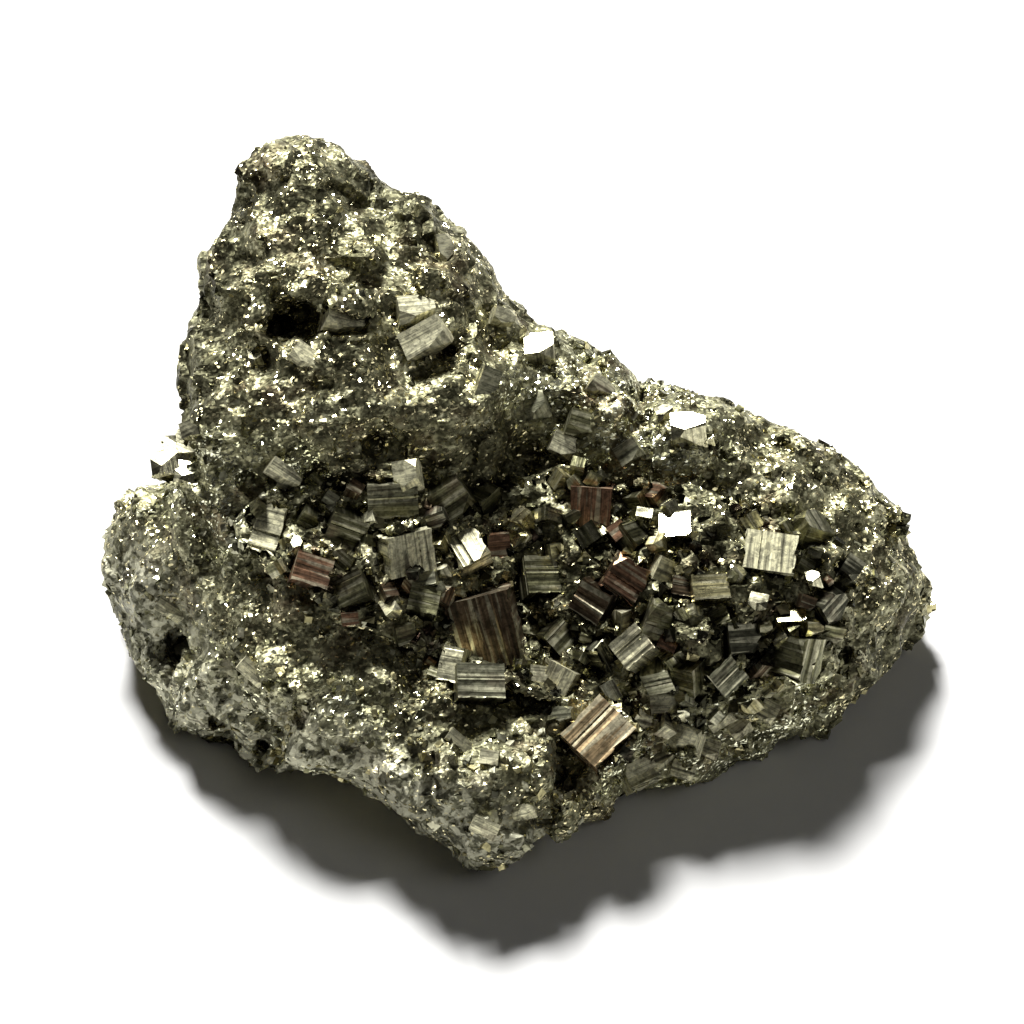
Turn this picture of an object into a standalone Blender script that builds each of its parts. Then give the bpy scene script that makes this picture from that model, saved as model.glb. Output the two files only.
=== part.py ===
"""A pyrite specimen: a lump of massive pyrite with a crust of cubes in its open trough.

The lump lies on a flat base, +Z up, with the origin under the middle of it. It is described as it
is looked at on display: from the front (-Y) and from DISPLAY_TILT above the horizon. In that view
`across` runs to the right, `rise` runs up the picture and `toward` runs out to the eye. All of
them are in millimetres here, and the meshes are in metres.
"""

import math
import random

import bmesh
import bpy
import numpy as np
from mathutils import Matrix, Vector, noise
from mathutils.bvhtree import BVHTree

MM = 0.001

# The display view, and where its centre lies above the base.
DISPLAY_TILT = math.radians(50.0)
EYE_DISTANCE = 420.0
DISPLAY_CENTRE = Vector((-0.6, 0.0, 20.0))

# The lobes that show on display: centre (across, rise, toward), radii, and a turn in degrees.
LOBES_SEEN = {
    "peak_tip": ((-21.0, 31.0, -2.0), (8.0, 7.5, 8.0), 0.0),
    "peak_face": ((-19.7, 22.0, -1.5), (12.5, 12.0, 11.0), 0.0),
    "peak_right": ((-8.5, 21.0, -3.0), (9.0, 11.0, 10.5), -20.0),
    "left_boss": ((-18.0, 11.5, 2.0), (11.5, 9.0, 9.0), 0.0),
    "right_boss": ((-6.5, 10.5, 0.5), (8.0, 8.5, 9.0), 0.0),
    "left_column": ((-27.0, 8.0, -1.5), (7.5, 16.0, 9.5), 0.0),
    "left_slope": ((-25.0, -5.5, -2.5), (10.0, 12.0, 9.5), 0.0),
    "left_lobe": ((-35.5, -6.8, -9.0), (7.0, 10.5, 9.0), 0.0),
    "low_left": ((-28.0, -18.0, -5.0), (9.5, 8.5, 9.0), 0.0),
    "lower_ridge": ((-16.5, -16.0, 1.0), (14.0, 9.0, 8.5), -30.0),
    "middle_ridge": ((-7.0, -22.0, 4.0), (12.0, 8.5, 8.0), -30.0),
    "front_lobe": ((-2.0, -28.0, 7.0), (9.0, 8.5, 8.0), 0.0),
    "front_foot": ((7.8, -28.0, 1.0), (4.5, 4.5, 7.0), 0.0),
    "back_ridge_left": ((2.0, 12.5, -6.0), (8.0, 8.5, 9.5), 0.0),
    "back_ridge_right": ((9.0, 8.0, -6.0), (8.0, 8.0, 9.5), 0.0),
    "skyline_right": ((17.0, 6.5, -6.0), (9.0, 7.0, 10.0), 0.0),
    "right_lobe": ((27.5, -2.8, -8.5), (14.0, 11.5, 11.5), -35.0),
    "right_end": ((35.0, -8.8, -10.5), (8.0, 9.5, 10.0), -20.0),
    "right_low": ((30.0, -15.5, -7.5), (9.5, 6.5, 9.0), 30.0),
    "rim_right": ((22.0, -20.0, -4.5), (10.5, 6.5, 8.5), 15.0),
    "rim_middle": ((13.5, -22.0, -3.5), (10.0, 6.5, 8.0), 5.0),
    "trough_right": ((16.0, -8.0, -11.5), (20.0, 15.0, 13.0), 0.0),
    "trough_middle": ((2.0, -6.0, -9.5), (16.0, 14.0, 12.5), 0.0),
    "trough_left": ((-12.0, -4.0, -5.0), (14.0, 12.0, 12.0), 0.0),
}

# The lobes under and behind those: centre (x, y, z) and radii in the lump's own frame.
LOBES_BEHIND = {
    "base_left": ((-18.0, 2.0, 12.0), (19.0, 20.0, 14.0)),
    "base_right": ((16.0, -2.0, 10.0), (21.0, 15.0, 12.0)),
    "back": ((-14.0, 17.0, 20.0), (15.0, 14.0, 19.0)),
    "back_foot": ((-6.0, 22.0, 8.0), (15.0, 11.0, 11.0)),
    "back_right": ((8.0, 10.0, 12.0), (16.0, 12.0, 14.0)),
    "front": ((-6.0, -18.0, 7.0), (17.0, 12.0, 9.0)),
}

# Pits and crevices seen on display: (across, rise), the two radii, the depth, a turn in degrees.
PITS = (
    ((-21.8, 19.2), (3.2, 2.1), 5.0, 10.0),
    ((-24.4, 15.6), (1.1, 2.2), 2.2, 0.0),
    ((-12.8, 6.0), (1.6, 1.6), 3.0, 0.0),
    ((-6.6, 16.2), (2.0, 1.6), 2.4, 20.0),
    ((-33.2, -14.0), (2.4, 2.0), 3.4, 0.0),
    ((-28.4, -22.6), (2.2, 1.8), 3.0, -20.0),
    ((-24.4, -23.4), (2.0, 1.6), 2.6, -30.0),
    ((3.4, -30.6), (1.7, 1.4), 2.0, 0.0),
    ((5.2, -25.0), (1.6, 4.2), 3.6, 8.0),
    ((-30.8, -2.0), (1.4, 6.5), 2.6, 12.0),
    ((12.9, 10.5), (1.6, 3.6), 2.6, 0.0),
    ((-2.2, 18.5), (1.4, 5.0), 2.4, 18.0),
    ((-12.6, 28.6), (1.2, 3.8), 2.0, 10.0),
    ((-16.0, 24.0), (5.0, 1.2), 1.6, -20.0),
)

# The open trough the cubes grow in, seen on display, anticlockwise: (across, rise).
TROUGH = (
    (-26.5, 2.0), (-27.0, -4.0), (-21.0, -8.5), (-14.0, -11.5), (-8.0, -15.0), (-3.0, -19.0),
    (3.5, -19.0), (6.0, -22.5), (9.0, -26.5), (14.5, -24.5), (20.0, -19.5), (28.0, -17.0),
    (33.0, -12.0), (34.0, -6.0), (30.0, -1.0), (22.0, 0.5), (14.0, 3.0), (6.0, 5.0),
    (-2.0, 2.5), (-14.0, 2.5),
)

# Blocky crystals on the lump: (across, rise), size, how far out, and turns in degrees about the
# display view's toward, across and rise lines.
LUMP_CRYSTALS = (
    ((-32.4, 4.8), (7.4, 4.6, 1.3), -1.5, (-12.0, 10.0, 12.0)),
    ((-9.8, 20.0), (3.6, 2.6, 2.6), 0.2, (12.0, -20.0, 18.0)),
    ((-8.6, 17.3), (4.4, 2.8, 2.6), 0.2, (24.0, -16.0, -14.0)),
    ((-16.4, 20.8), (4.2, 2.6, 2.6), 0.2, (-10.0, -24.0, 20.0)),
    ((17.8, 8.2), (3.2, 2.4, 2.6), 0.0, (0.0, -38.0, -7.0)),
    ((2.8, 16.2), (2.6, 2.4, 2.4), 0.0, (0.0, -38.0, -7.0)),
)

# The cubes of the trough that stand out, laid down the same way.
CUBES = (
    ((-11.9, 2.5), (4.8, 4.8, 4.4), 0.8, (2.0, -24.0, 6.0)),
    ((-10.9, -3.8), (4.6, 5.4, 4.6), 1.0, (14.0, 5.0, -42.0)),
    ((-8.4, -6.6), (2.1, 2.1, 2.1), 0.8, (8.0, -20.0, -16.0)),
    ((-4.4, -4.0), (3.8, 3.4, 3.2), 0.6, (-62.0, 10.0, -25.0)),
    ((-20.2, -6.0), (3.6, 3.0, 3.0), 0.6, (-15.0, -8.0, 12.0)),
    ((-2.4, -11.5), (7.4, 6.8, 6.4), 1.2, (-76.0, 4.0, 10.0)),
    ((-5.8, -15.3), (2.2, 3.4, 2.4), 0.8, (-12.0, 6.0, -20.0)),
    ((-3.5, -17.2), (4.6, 3.4, 3.8), 1.0, (2.0, -14.0, 14.0)),
    ((4.9, -16.7), (2.7, 2.9, 2.6), 0.8, (0.0, -38.0, -7.0)),
    ((9.3, -22.8), (6.0, 5.4, 5.0), 1.0, (47.0, -8.0, 14.0)),
    ((12.4, -13.7), (3.4, 3.2, 3.2), 0.9, (38.0, -24.0, -8.0)),
    ((8.5, 0.8), (4.2, 4.0, 3.8), 0.4, (86.0, 8.0, -10.0)),
    ((16.4, -2.1), (3.0, 3.0, 3.0), 0.7, (0.0, -38.6, -7.0)),
    ((25.8, -4.5), (4.0, 5.2, 4.4), 0.8, (85.0, 8.0, -6.0)),
    ((19.5, -7.9), (3.6, 2.6, 3.0), 0.8, (8.0, -18.0, 14.0)),
    ((14.9, -5.7), (2.2, 2.4, 2.2), 0.5, (-25.0, 10.0, 28.0)),
    ((14.2, -10.7), (2.4, 4.2, 2.8), 0.8, (-22.0, 10.0, 20.0)),
    ((23.9, -0.9), (2.0, 2.2, 2.0), 0.5, (-60.0, 10.0, 10.0)),
    ((28.2, -14.4), (4.6, 4.8, 4.2), 0.9, (-12.0, 8.0, -34.0)),
    ((22.8, -12.8), (3.6, 3.4, 3.4), 0.6, (6.0, -10.0, 20.0)),
    ((12.6, -26.2), (3.2, 2.9, 2.9), 0.2, (25.0, 10.0, 18.0)),
    ((17.3, -22.8), (3.4, 3.2, 3.2), 0.6, (-16.0, 13.0, -24.0)),
    ((21.0, -16.2), (3.0, 3.0, 3.0), 0.5, (40.0, 20.0, 12.0)),
    ((2.6, -6.8), (3.8, 3.8, 3.6), 0.4, (8.0, -18.0, 24.0)),
    ((8.4, -8.8), (3.4, 3.4, 3.2), 0.5, (-28.0, 16.0, -18.0)),
    ((4.4, -12.4), (3.0, 3.0, 3.0), 0.6, (42.0, 12.0, 20.0)),
    ((-15.6, -7.8), (3.2, 3.0, 3.0), 0.5, (20.0, -16.0, -20.0)),
    ((-16.6, -1.4), (3.6, 3.2, 3.2), 0.6, (-24.0, 18.0, 14.0)),
    ((-24.2, -1.8), (2.8, 4.8, 1.8), 0.8, (-18.0, 0.0, -12.0)),
)

# The smaller cubes between them: how many, their sizes, and the seed they are laid out from.
SMALL_CUBES = 60
SMALL_CUBE_SIZES = (2.0, 3.8)
SEED = 23

# The crust's clearance over the lump, its bed's thickness and the depth its cubes root to.
CLEARANCE = 0.85
BED = 0.9
ROOT = 1.2

# How finely the bed and the lump's outward copy, which cuts it free of the lump, are meshed.
BED_VOXEL = 0.91
BED_TRIANGLES = 1000
GROWN_TRIANGLES = 9000

# The outline in the display view, clockwise from the peak: (across, rise).
OUTLINE = (
    (-20.3, 38.0), (-14.8, 35.3), (-13.6, 34.3), (-12.7, 32.9), (-12.6, 31.8), (-10.1, 32.1),
    (-8.7, 31.5), (-7.7, 30.6), (-7.3, 29.4), (-6.1, 29.0), (-2.6, 25.7), (-2.0, 24.5),
    (-1.4, 21.9), (-0.1, 21.8), (2.4, 19.5), (8.3, 17.3), (9.5, 15.9), (10.9, 15.0),
    (12.4, 13.2), (13.1, 11.8), (13.8, 12.5), (15.6, 13.0), (22.0, 11.2), (26.7, 8.6),
    (32.7, 6.1), (34.9, 4.6), (38.8, 0.0), (42.4, -7.5), (42.4, -8.9), (40.2, -13.6),
    (36.7, -17.5), (33.4, -19.7), (31.3, -22.5), (27.0, -23.9), (25.2, -25.0), (23.1, -25.0),
    (21.3, -25.7), (19.9, -27.3), (12.4, -28.4), (10.2, -28.7), (10.4, -30.2), (10.2, -31.1),
    (8.1, -32.0), (6.2, -31.6), (3.2, -32.9), (2.2, -34.3), (0.6, -35.6), (-1.4, -36.2),
    (-3.7, -35.9), (-8.0, -32.9), (-10.0, -31.9), (-13.4, -29.3), (-18.7, -26.6), (-23.3, -26.1),
    (-24.6, -27.0), (-27.3, -26.6), (-34.9, -21.0), (-35.4, -18.7), (-36.9, -16.7), (-40.7, -8.7),
    (-41.4, -5.7), (-41.4, -3.0), (-39.8, 0.3), (-38.6, 2.0), (-37.4, 2.8), (-35.9, 2.6),
    (-34.5, 3.1), (-33.1, 5.5), (-33.3, 12.6), (-32.8, 18.6), (-31.8, 19.8), (-31.6, 25.9),
    (-30.3, 27.2), (-28.1, 30.6), (-27.6, 33.9), (-25.9, 36.6),
)
OUTLINE_CENTRE = (-6.0, -2.0)

# How finely the lump is meshed, first and last, and how close its points may come, in millimetres.
VOXEL = 1.3
FINE_VOXEL = 0.85
MASS_TRIANGLES = 5700
CLOSEST = 0.06

# Each material's colour and roughness; pyrite shines like a metal.
MATERIALS = {
    "pyrite_mass": ((0.30, 0.27, 0.17), 0.48),
    "cube_crust": ((0.52, 0.45, 0.27), 0.28),
}

# Squarish lumps on the surface, as (size, height), and the height of its slow swell.
BLOCKS = ((8.5, 1.5), (4.2, 0.8))
SWELL = 1.6
WARP_SHIFTS = ((0.0, 0.0, 0.0), (31.0, 7.0, 0.0), (0.0, 47.0, 19.0))


def display_axes():
    """The display view's axes in the lump's own frame, as the columns of a matrix."""
    s, c = math.sin(DISPLAY_TILT), math.cos(DISPLAY_TILT)
    return np.array([[1.0, 0.0, 0.0], [0.0, s, -c], [0.0, c, s]])


def from_display(points):
    """Display coordinates to the lump's own frame, both in millimetres."""
    return np.asarray(points, float) @ display_axes().T + np.array(DISPLAY_CENTRE)


def to_display(points):
    """The lump's own frame to display coordinates, both in millimetres."""
    return (np.asarray(points, float) - np.array(DISPLAY_CENTRE)) @ display_axes()


def clear_scene():
    """Takes away everything the scene starts with."""
    for obj in list(bpy.data.objects):
        bpy.data.objects.remove(obj)


def select_only(obj):
    """Selects one object and makes it the active one."""
    bpy.ops.object.select_all(action="DESELECT")
    obj.select_set(True)
    bpy.context.view_layer.objects.active = obj


def apply_modifier(obj, kind, **settings):
    """Adds one modifier with its settings and applies it."""
    modifier = obj.modifiers.new(kind.title(), kind)
    for name, value in settings.items():
        setattr(modifier, name, value)
    select_only(obj)
    bpy.ops.object.modifier_apply(modifier=modifier.name)


def points_of(obj):
    """The object's points in millimetres, one per row."""
    points = np.empty(len(obj.data.vertices) * 3, np.float32)
    obj.data.vertices.foreach_get("co", points)
    return points.reshape(-1, 3).astype(float) / MM


def set_points(obj, points):
    """Moves the object's points to these places, in millimetres."""
    obj.data.vertices.foreach_set("co", (np.asarray(points) * MM).astype(np.float32).ravel())
    obj.data.update()


def normals_of(obj):
    """The normal at each point, from the faces round it and weighted by their areas."""
    obj.data.calc_loop_triangles()
    corners = np.empty(len(obj.data.loop_triangles) * 3, np.int32)
    obj.data.loop_triangles.foreach_get("vertices", corners)
    corners = corners.reshape(-1, 3)
    a, b, c = (points_of(obj)[corners[:, number]] for number in range(3))
    areas = np.cross(b - a, c - a)
    normals = np.zeros((len(obj.data.vertices), 3))
    for number in range(3):
        np.add.at(normals, corners[:, number], areas)
    return normals / np.maximum(np.linalg.norm(normals, axis=1, keepdims=True), 1e-12)


def smooth(obj, times):
    """Moves every point half way to the middle of its neighbours, so many times over."""
    ends = np.empty(len(obj.data.edges) * 2, np.int32)
    obj.data.edges.foreach_get("vertices", ends)
    first, second = ends.reshape(-1, 2).T
    points = points_of(obj)
    joined = np.bincount(ends, minlength=len(points))[:, None]
    for _ in range(times):
        total = np.zeros_like(points)
        np.add.at(total, first, points[second])
        np.add.at(total, second, points[first])
        points = (points + total / joined) / 2
    set_points(obj, points)


def mesh_object(name, mesh):
    """Makes a worked mesh an object of the scene."""
    data = bpy.data.meshes.new(name)
    mesh.to_mesh(data)
    mesh.free()
    obj = bpy.data.objects.new(name, data)
    bpy.context.scene.collection.objects.link(obj)
    return obj


def join_lobes(name):
    """All the lobes as one mesh of overlapping ellipsoids."""
    axes = Matrix(display_axes().tolist())
    mesh = bmesh.new()
    for centre, radii, turn in LOBES_SEEN.values():
        turned = (axes @ Matrix.Rotation(math.radians(turn), 3, "Z")).to_4x4()
        add_ellipsoid(mesh, from_display(centre), turned, radii)
    for centre, radii in LOBES_BEHIND.values():
        add_ellipsoid(mesh, centre, Matrix.Identity(4), radii)
    return mesh_object(name, mesh)


def add_ellipsoid(mesh, centre, turned, radii):
    """One lobe: an ellipsoid with its centre and radii in millimetres."""
    place = Matrix.Translation(Vector(centre) * MM)
    size = Matrix.Diagonal((*[radius * MM for radius in radii], 1.0))
    bmesh.ops.create_icosphere(mesh, subdivisions=4, radius=1.0, matrix=place @ turned @ size)


def seen_from_eye(points):
    """Display points as the eye sees them, scaled to the plane through the display's centre."""
    shown = to_display(points)
    scale = EYE_DISTANCE / (EYE_DISTANCE - shown[:, 2])
    return shown, scale, shown[:, :2] * scale[:, None]


def outline_reach(angles):
    """How far the wanted outline lies from its centre at each angle."""
    corners = np.array(OUTLINE) - np.array(OUTLINE_CENTRE)
    ends = np.roll(corners, -1, axis=0)
    reach = np.zeros(len(angles))
    for start, end in zip(corners, ends):
        for share in np.linspace(0.0, 1.0, 12, endpoint=False):
            x, y = start + (end - start) * share
            bin_number = int((math.atan2(y, x) % math.tau) / math.tau * len(angles)) % len(angles)
            reach[bin_number] = max(reach[bin_number], math.hypot(x, y))
    known = reach > 0
    return np.interp(angles, angles[known], reach[known], period=math.tau)


def fit_outline(obj, bins, start):
    """Draws the lump's rim, as the eye sees it, in or out to the wanted outline. Points nearer the
    middle than `start` of the way out stay where they are."""
    points = points_of(obj)
    shown, scale, flat = seen_from_eye(points)
    flat = flat - np.array(OUTLINE_CENTRE)
    radius = np.hypot(flat[:, 0], flat[:, 1])
    angle = np.arctan2(flat[:, 1], flat[:, 0]) % math.tau
    angles = (np.arange(bins) + 0.5) / bins * math.tau
    number = (angle / math.tau * bins).astype(int) % bins
    current = np.zeros(bins)
    np.maximum.at(current, number, radius)
    wanted = outline_reach(angles)
    change = np.interp(angle, angles, wanted / np.maximum(current, 1e-6), period=math.tau)
    out = radius / np.interp(angle, angles, current, period=math.tau)
    share = np.clip((out - start) / (1 - start), 0, 1)
    weight = share * share * (3 - 2 * share)
    factor = 1 + (change - 1) * weight
    flat = flat * factor[:, None] + np.array(OUTLINE_CENTRE)
    shown[:, :2] = flat / scale[:, None]
    set_points(obj, from_display(shown))


def sight_line(across, rise):
    """The line from the eye through one point of the display's plane, in metres."""
    eye = from_display((0.0, 0.0, EYE_DISTANCE))
    return Vector(eye * MM), Vector(from_display((across, rise, 0.0)) - eye).normalized()


def inside_trough(flat):
    """How deep inside the trough's edge each seen point lies, in millimetres; less than 0 outside."""
    edge = np.array(TROUGH)
    nearest = np.full(len(flat), np.inf)
    inside = np.zeros(len(flat), bool)
    for start, end in zip(edge, np.roll(edge, -1, axis=0)):
        along = end - start
        share = np.clip(((flat - start) @ along) / (along @ along), 0.0, 1.0)
        nearest = np.minimum(nearest, np.hypot(*(flat - start - share[:, None] * along).T))
        crosses = (start[1] > flat[:, 1]) != (end[1] > flat[:, 1])
        slope = along[0] / (along[1] or 1e-9)
        inside ^= crosses & (flat[:, 0] < start[0] + slope * (flat[:, 1] - start[1]))
    return np.where(inside, nearest, -nearest)


def roughen(obj):
    """Breaks the surface into squarish lumps with creases between them."""
    points, normals = points_of(obj), normals_of(obj)
    calm = np.clip((inside_trough(seen_from_eye(points)[2]) + 1.0) / 3.0, 0.0, 1.0)
    lift = np.zeros(len(points))
    for index, point in enumerate(points):
        place = Vector(point)
        warp = Vector(noise.noise(place / 9.0 + Vector(shift)) for shift in WARP_SHIFTS) * 2.0
        for size, height in BLOCKS:
            near = noise.voronoi((place + warp) / size, distance_metric="CHEBYCHEV")[0]
            lift[index] += height * (min((near[1] - near[0]) / 0.35, 1.0) - 0.6)
        lift[index] += SWELL * noise.noise(place / 13.0)
    set_points(obj, points + normals * (lift * (1 - 0.8 * calm))[:, None])


def surface_of(obj):
    """The object's surface, to find where a line of sight meets it."""
    return BVHTree.FromObject(obj, bpy.context.evaluated_depsgraph_get())


def dig_pits(obj):
    """Presses the pits and crevices straight in, away from the eye."""
    points = points_of(obj)
    shown, _, flat = seen_from_eye(points)
    surface = surface_of(obj)
    for (across, rise), radii, depth, turn in PITS:
        place = surface.ray_cast(*sight_line(across, rise))[0]
        level = to_display(np.array(place) / MM)[2]
        away = (flat - (across, rise)) @ np.array(Matrix.Rotation(math.radians(turn), 2))
        share = 1 - ((away / radii) ** 2).sum(axis=1)
        near = (share > 0) & (shown[:, 2] > level - 6.0)
        shown[near, 2] -= depth * np.sqrt(share[near])
    set_points(obj, from_display(shown))


def cut_base(obj):
    """Cuts the lump off flat at the base."""
    mesh = bmesh.new()
    mesh.from_mesh(obj.data)
    whole = mesh.verts[:] + mesh.edges[:] + mesh.faces[:]
    cut = bmesh.ops.bisect_plane(
        mesh, geom=whole, dist=1e-6, plane_co=(0, 0, 0), plane_no=(0, 0, 1), clear_inner=True
    )
    rim = [part for part in cut["geom_cut"] if isinstance(part, bmesh.types.BMEdge)]
    bmesh.ops.holes_fill(mesh, edges=rim)
    bmesh.ops.triangulate(mesh, faces=mesh.faces[:])
    mesh.to_mesh(obj.data)
    mesh.free()


def add_crystal(mesh, surface, spot, size, out, turns):
    """A rectangular crystal whose middle is `out` millimetres out from the surface seen at `spot`."""
    place = surface.ray_cast(*sight_line(*spot))[0]
    if place is None:
        return
    axes = Matrix(display_axes().tolist())
    roll, pitch, yaw = (math.radians(turn) for turn in turns)
    turned = axes @ Matrix.Rotation(roll, 3, "Z") @ Matrix.Rotation(pitch, 3, "X")
    turned = turned @ Matrix.Rotation(yaw, 3, "Y")
    middle = Matrix.Translation(place + axes @ Vector((0.0, 0.0, out * MM)))
    shape = Matrix.Diagonal((*[length * MM for length in size], 1.0))
    bmesh.ops.create_cube(mesh, size=1.0, matrix=middle @ turned.to_4x4() @ shape)


def boolean(obj, cutter, operation):
    """Joins the cutter to the object, or cuts it away, and drops the cutter."""
    cutter.hide_render = True
    cutter.display_type = "WIRE"
    apply_modifier(obj, "BOOLEAN", object=cutter, operation=operation, solver="EXACT")
    bpy.data.objects.remove(cutter)


def closed_volume(obj):
    """The volume in cubic millimetres, or 0 for a surface that isn't closed."""
    mesh = bmesh.new()
    mesh.from_mesh(obj.data)
    closed = all(part.is_manifold for part in mesh.edges[:] + mesh.verts[:])
    volume = mesh.calc_volume(signed=True) / MM**3 if closed else 0.0
    mesh.free()
    return volume


def join_crystals(obj, surface, rows):
    """Grows the crystals on to the object one at a time. One whose edges only just touch what is
    there already is turned a little further and tried again."""
    for spot, size, out, turns in rows:
        before, volume = obj.data.copy(), closed_volume(obj)
        for extra in range(6):
            mesh = bmesh.new()
            add_crystal(mesh, surface, spot, size, out, [turn + 1.7 * extra for turn in turns])
            boolean(obj, mesh_object("crystal", mesh), "UNION")
            if volume - 0.5 < closed_volume(obj) < volume + math.prod(size) + 0.5:
                break
            obj.data = before.copy()


def small_cubes():
    """Rows for the smaller cubes, spread over the trough between the ones that stand out."""
    chance = random.Random(SEED)
    rows = []
    taken = [(spot, max(size)) for spot, size, _, _ in CUBES]
    while len(rows) < SMALL_CUBES:
        spot = (chance.uniform(-27.0, 34.0), chance.uniform(-27.0, 5.0))
        size = chance.uniform(*SMALL_CUBE_SIZES)
        turns = tuple(chance.uniform(-45.0, 45.0) for _ in range(3))
        free = all(math.dist(spot, other) > 0.5 * (size + width) for other, width in taken)
        if free and inside_trough(np.array([spot]))[0] > 0.8:
            taken.append((spot, size * 0.8))
            rows.append((spot, (size, size, size), 0.2 * size, turns))
    return rows


def make_bed(mass):
    """The layer the cubes grow from: the trough's surface, thickened both ways."""
    mesh = bmesh.new()
    mesh.from_mesh(mass.data)
    middles = np.array([face.calc_center_median() for face in mesh.faces]) / MM
    toward = Vector(display_axes()[:, 2])
    deep = inside_trough(seen_from_eye(middles)[2])
    outside = [
        face for face, depth in zip(mesh.faces, deep)
        if depth < 0.0 or face.normal.dot(toward) < 0.1
    ]
    bmesh.ops.delete(mesh, geom=outside, context="FACES")
    keep_largest(mesh)
    for vert in mesh.verts:
        vert.normal_update()
    lower = {vert: vert.co - vert.normal * ROOT * MM for vert in mesh.verts}
    for vert in mesh.verts:
        vert.co += vert.normal * (CLEARANCE + BED) * MM
    rims = [edge for edge in mesh.edges if edge.is_boundary]
    top = mesh.faces[:]
    made = {vert: mesh.verts.new(place) for vert, place in lower.items()}
    for face in top:
        mesh.faces.new([made[vert] for vert in reversed(face.verts)])
    for edge in rims:
        first, second = edge.link_loops[0].vert, edge.link_loops[0].link_loop_next.vert
        mesh.faces.new((second, first, made[first], made[second]))
    bmesh.ops.triangulate(mesh, faces=mesh.faces[:])
    bmesh.ops.recalc_face_normals(mesh, faces=mesh.faces[:])
    return mesh_object("bed", mesh)


def keep_largest(mesh):
    """Keeps the largest run of faces joined by their edges, with no pinched corners on its rim."""
    while True:
        pinched = [
            vert for vert in mesh.verts
            if sum(edge.is_boundary for edge in vert.link_edges) > 2
        ]
        if not pinched:
            break
        bmesh.ops.delete(mesh, geom=pinched, context="VERTS")
    waiting, groups = set(mesh.faces), []
    while waiting:
        group, front = set(), [waiting.pop()]
        while front:
            face = front.pop()
            group.add(face)
            for other in {link for edge in face.edges for link in edge.link_faces} & waiting:
                waiting.discard(other)
                front.append(other)
        groups.append(group)
    groups.sort(key=len)
    spare = [face for group in groups[:-1] for face in group]
    bmesh.ops.delete(mesh, geom=spare, context="FACES")
    bmesh.ops.delete(mesh, geom=[vert for vert in mesh.verts if not vert.link_faces], context="VERTS")


def close_up(obj, distance):
    """Draws together points closer than `distance` millimetres wherever that keeps the surface
    closed, and makes every face a triangle."""
    mesh = bmesh.new()
    mesh.from_mesh(obj.data)
    keep_largest(mesh)
    bmesh.ops.triangulate(mesh, faces=mesh.faces[:])
    for edge in sorted(mesh.edges, key=lambda edge: edge.calc_length()):
        if edge.is_valid and edge.calc_length() < distance * MM:
            first, second = edge.verts
            around = [{link.other_vert(vert) for link in vert.link_edges} for vert in (first, second)]
            shared = around[0] & around[1]
            if len(shared) == 2 and all(len(vert.link_edges) > 3 for vert in shared):
                bmesh.ops.pointmerge(mesh, verts=[first, second], merge_co=first.co.copy())
    mesh.to_mesh(obj.data)
    mesh.free()


def reduce_to(obj, triangles):
    """Thins the mesh out to about this many triangles."""
    start = sum(len(face.vertices) - 2 for face in obj.data.polygons)
    apply_modifier(obj, "DECIMATE", ratio=triangles / start)


def make_mass():
    """The lump: lobes run together, drawn to the outline, roughened, pitted and cut off flat."""
    mass = join_lobes("pyrite_mass")
    apply_modifier(mass, "REMESH", mode="VOXEL", voxel_size=VOXEL * MM)
    smooth(mass, 6)
    for _ in range(3):
        fit_outline(mass, 90, 0.25)
    apply_modifier(mass, "REMESH", mode="VOXEL", voxel_size=FINE_VOXEL * MM)
    roughen(mass)
    dig_pits(mass)
    for _ in range(2):
        fit_outline(mass, 300, 0.88)
    apply_modifier(mass, "REMESH", mode="VOXEL", voxel_size=FINE_VOXEL * MM)
    reduce_to(mass, MASS_TRIANGLES)
    cut_base(mass)
    join_crystals(mass, surface_of(mass), LUMP_CRYSTALS)
    close_up(mass, CLOSEST)
    return mass


def make_crust(mass):
    """The trough's cubes on their bed, which follows the lump's surface a little way out."""
    crust = make_bed(mass)
    crust.name = crust.data.name = "cube_crust"
    apply_modifier(crust, "REMESH", mode="VOXEL", voxel_size=BED_VOXEL * MM)
    reduce_to(crust, BED_TRIANGLES)
    join_crystals(crust, surface_of(mass), list(CUBES) + small_cubes())
    grown = bpy.data.objects.new("grown_mass", mass.data.copy())
    bpy.context.scene.collection.objects.link(grown)
    set_points(grown, points_of(mass) + normals_of(mass) * CLEARANCE)
    apply_modifier(grown, "REMESH", mode="VOXEL", voxel_size=BED_VOXEL * MM)
    reduce_to(grown, GROWN_TRIANGLES)
    apply_modifier(crust, "TRIANGULATE")
    boolean(crust, grown, "DIFFERENCE")
    close_up(crust, CLOSEST)
    return crust


def give_material(obj, colour, roughness):
    """Gives the object its own metallic material."""
    material = bpy.data.materials.new(obj.name)
    material.use_nodes = True
    shader = material.node_tree.nodes["Principled BSDF"]
    shader.inputs["Base Color"].default_value = (*colour, 1.0)
    shader.inputs["Roughness"].default_value = roughness
    shader.inputs["Metallic"].default_value = 1.0
    obj.data.materials.clear()
    obj.data.materials.append(material)


def centre_on_base(objects):
    """Brings the origin under the middle of the whole lump's box."""
    points = np.concatenate([points_of(obj) for obj in objects])
    low, high = points.min(axis=0), points.max(axis=0)
    shift = np.array([(low[0] + high[0]) / 2, (low[1] + high[1]) / 2, low[2]])
    for obj in objects:
        set_points(obj, points_of(obj) - shift)


def main():
    clear_scene()
    mass = make_mass()
    crust = make_crust(mass)
    centre_on_base((mass, crust))
    for obj in (mass, crust):
        give_material(obj, *MATERIALS[obj.name])


if __name__ == "__main__":
    main()
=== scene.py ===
"""A pyrite specimen: a craggy lump of granular pyrite with an open trough of striated cubes.

The lump is described as it is looked at on display, from the front and from above: `across` runs
to the right, `rise` runs up and `toward` runs out to the eye, all of them in millimetres.
"""

from __future__ import annotations

import logging
import math
import random
from dataclasses import dataclass, field
from enum import Enum

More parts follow.
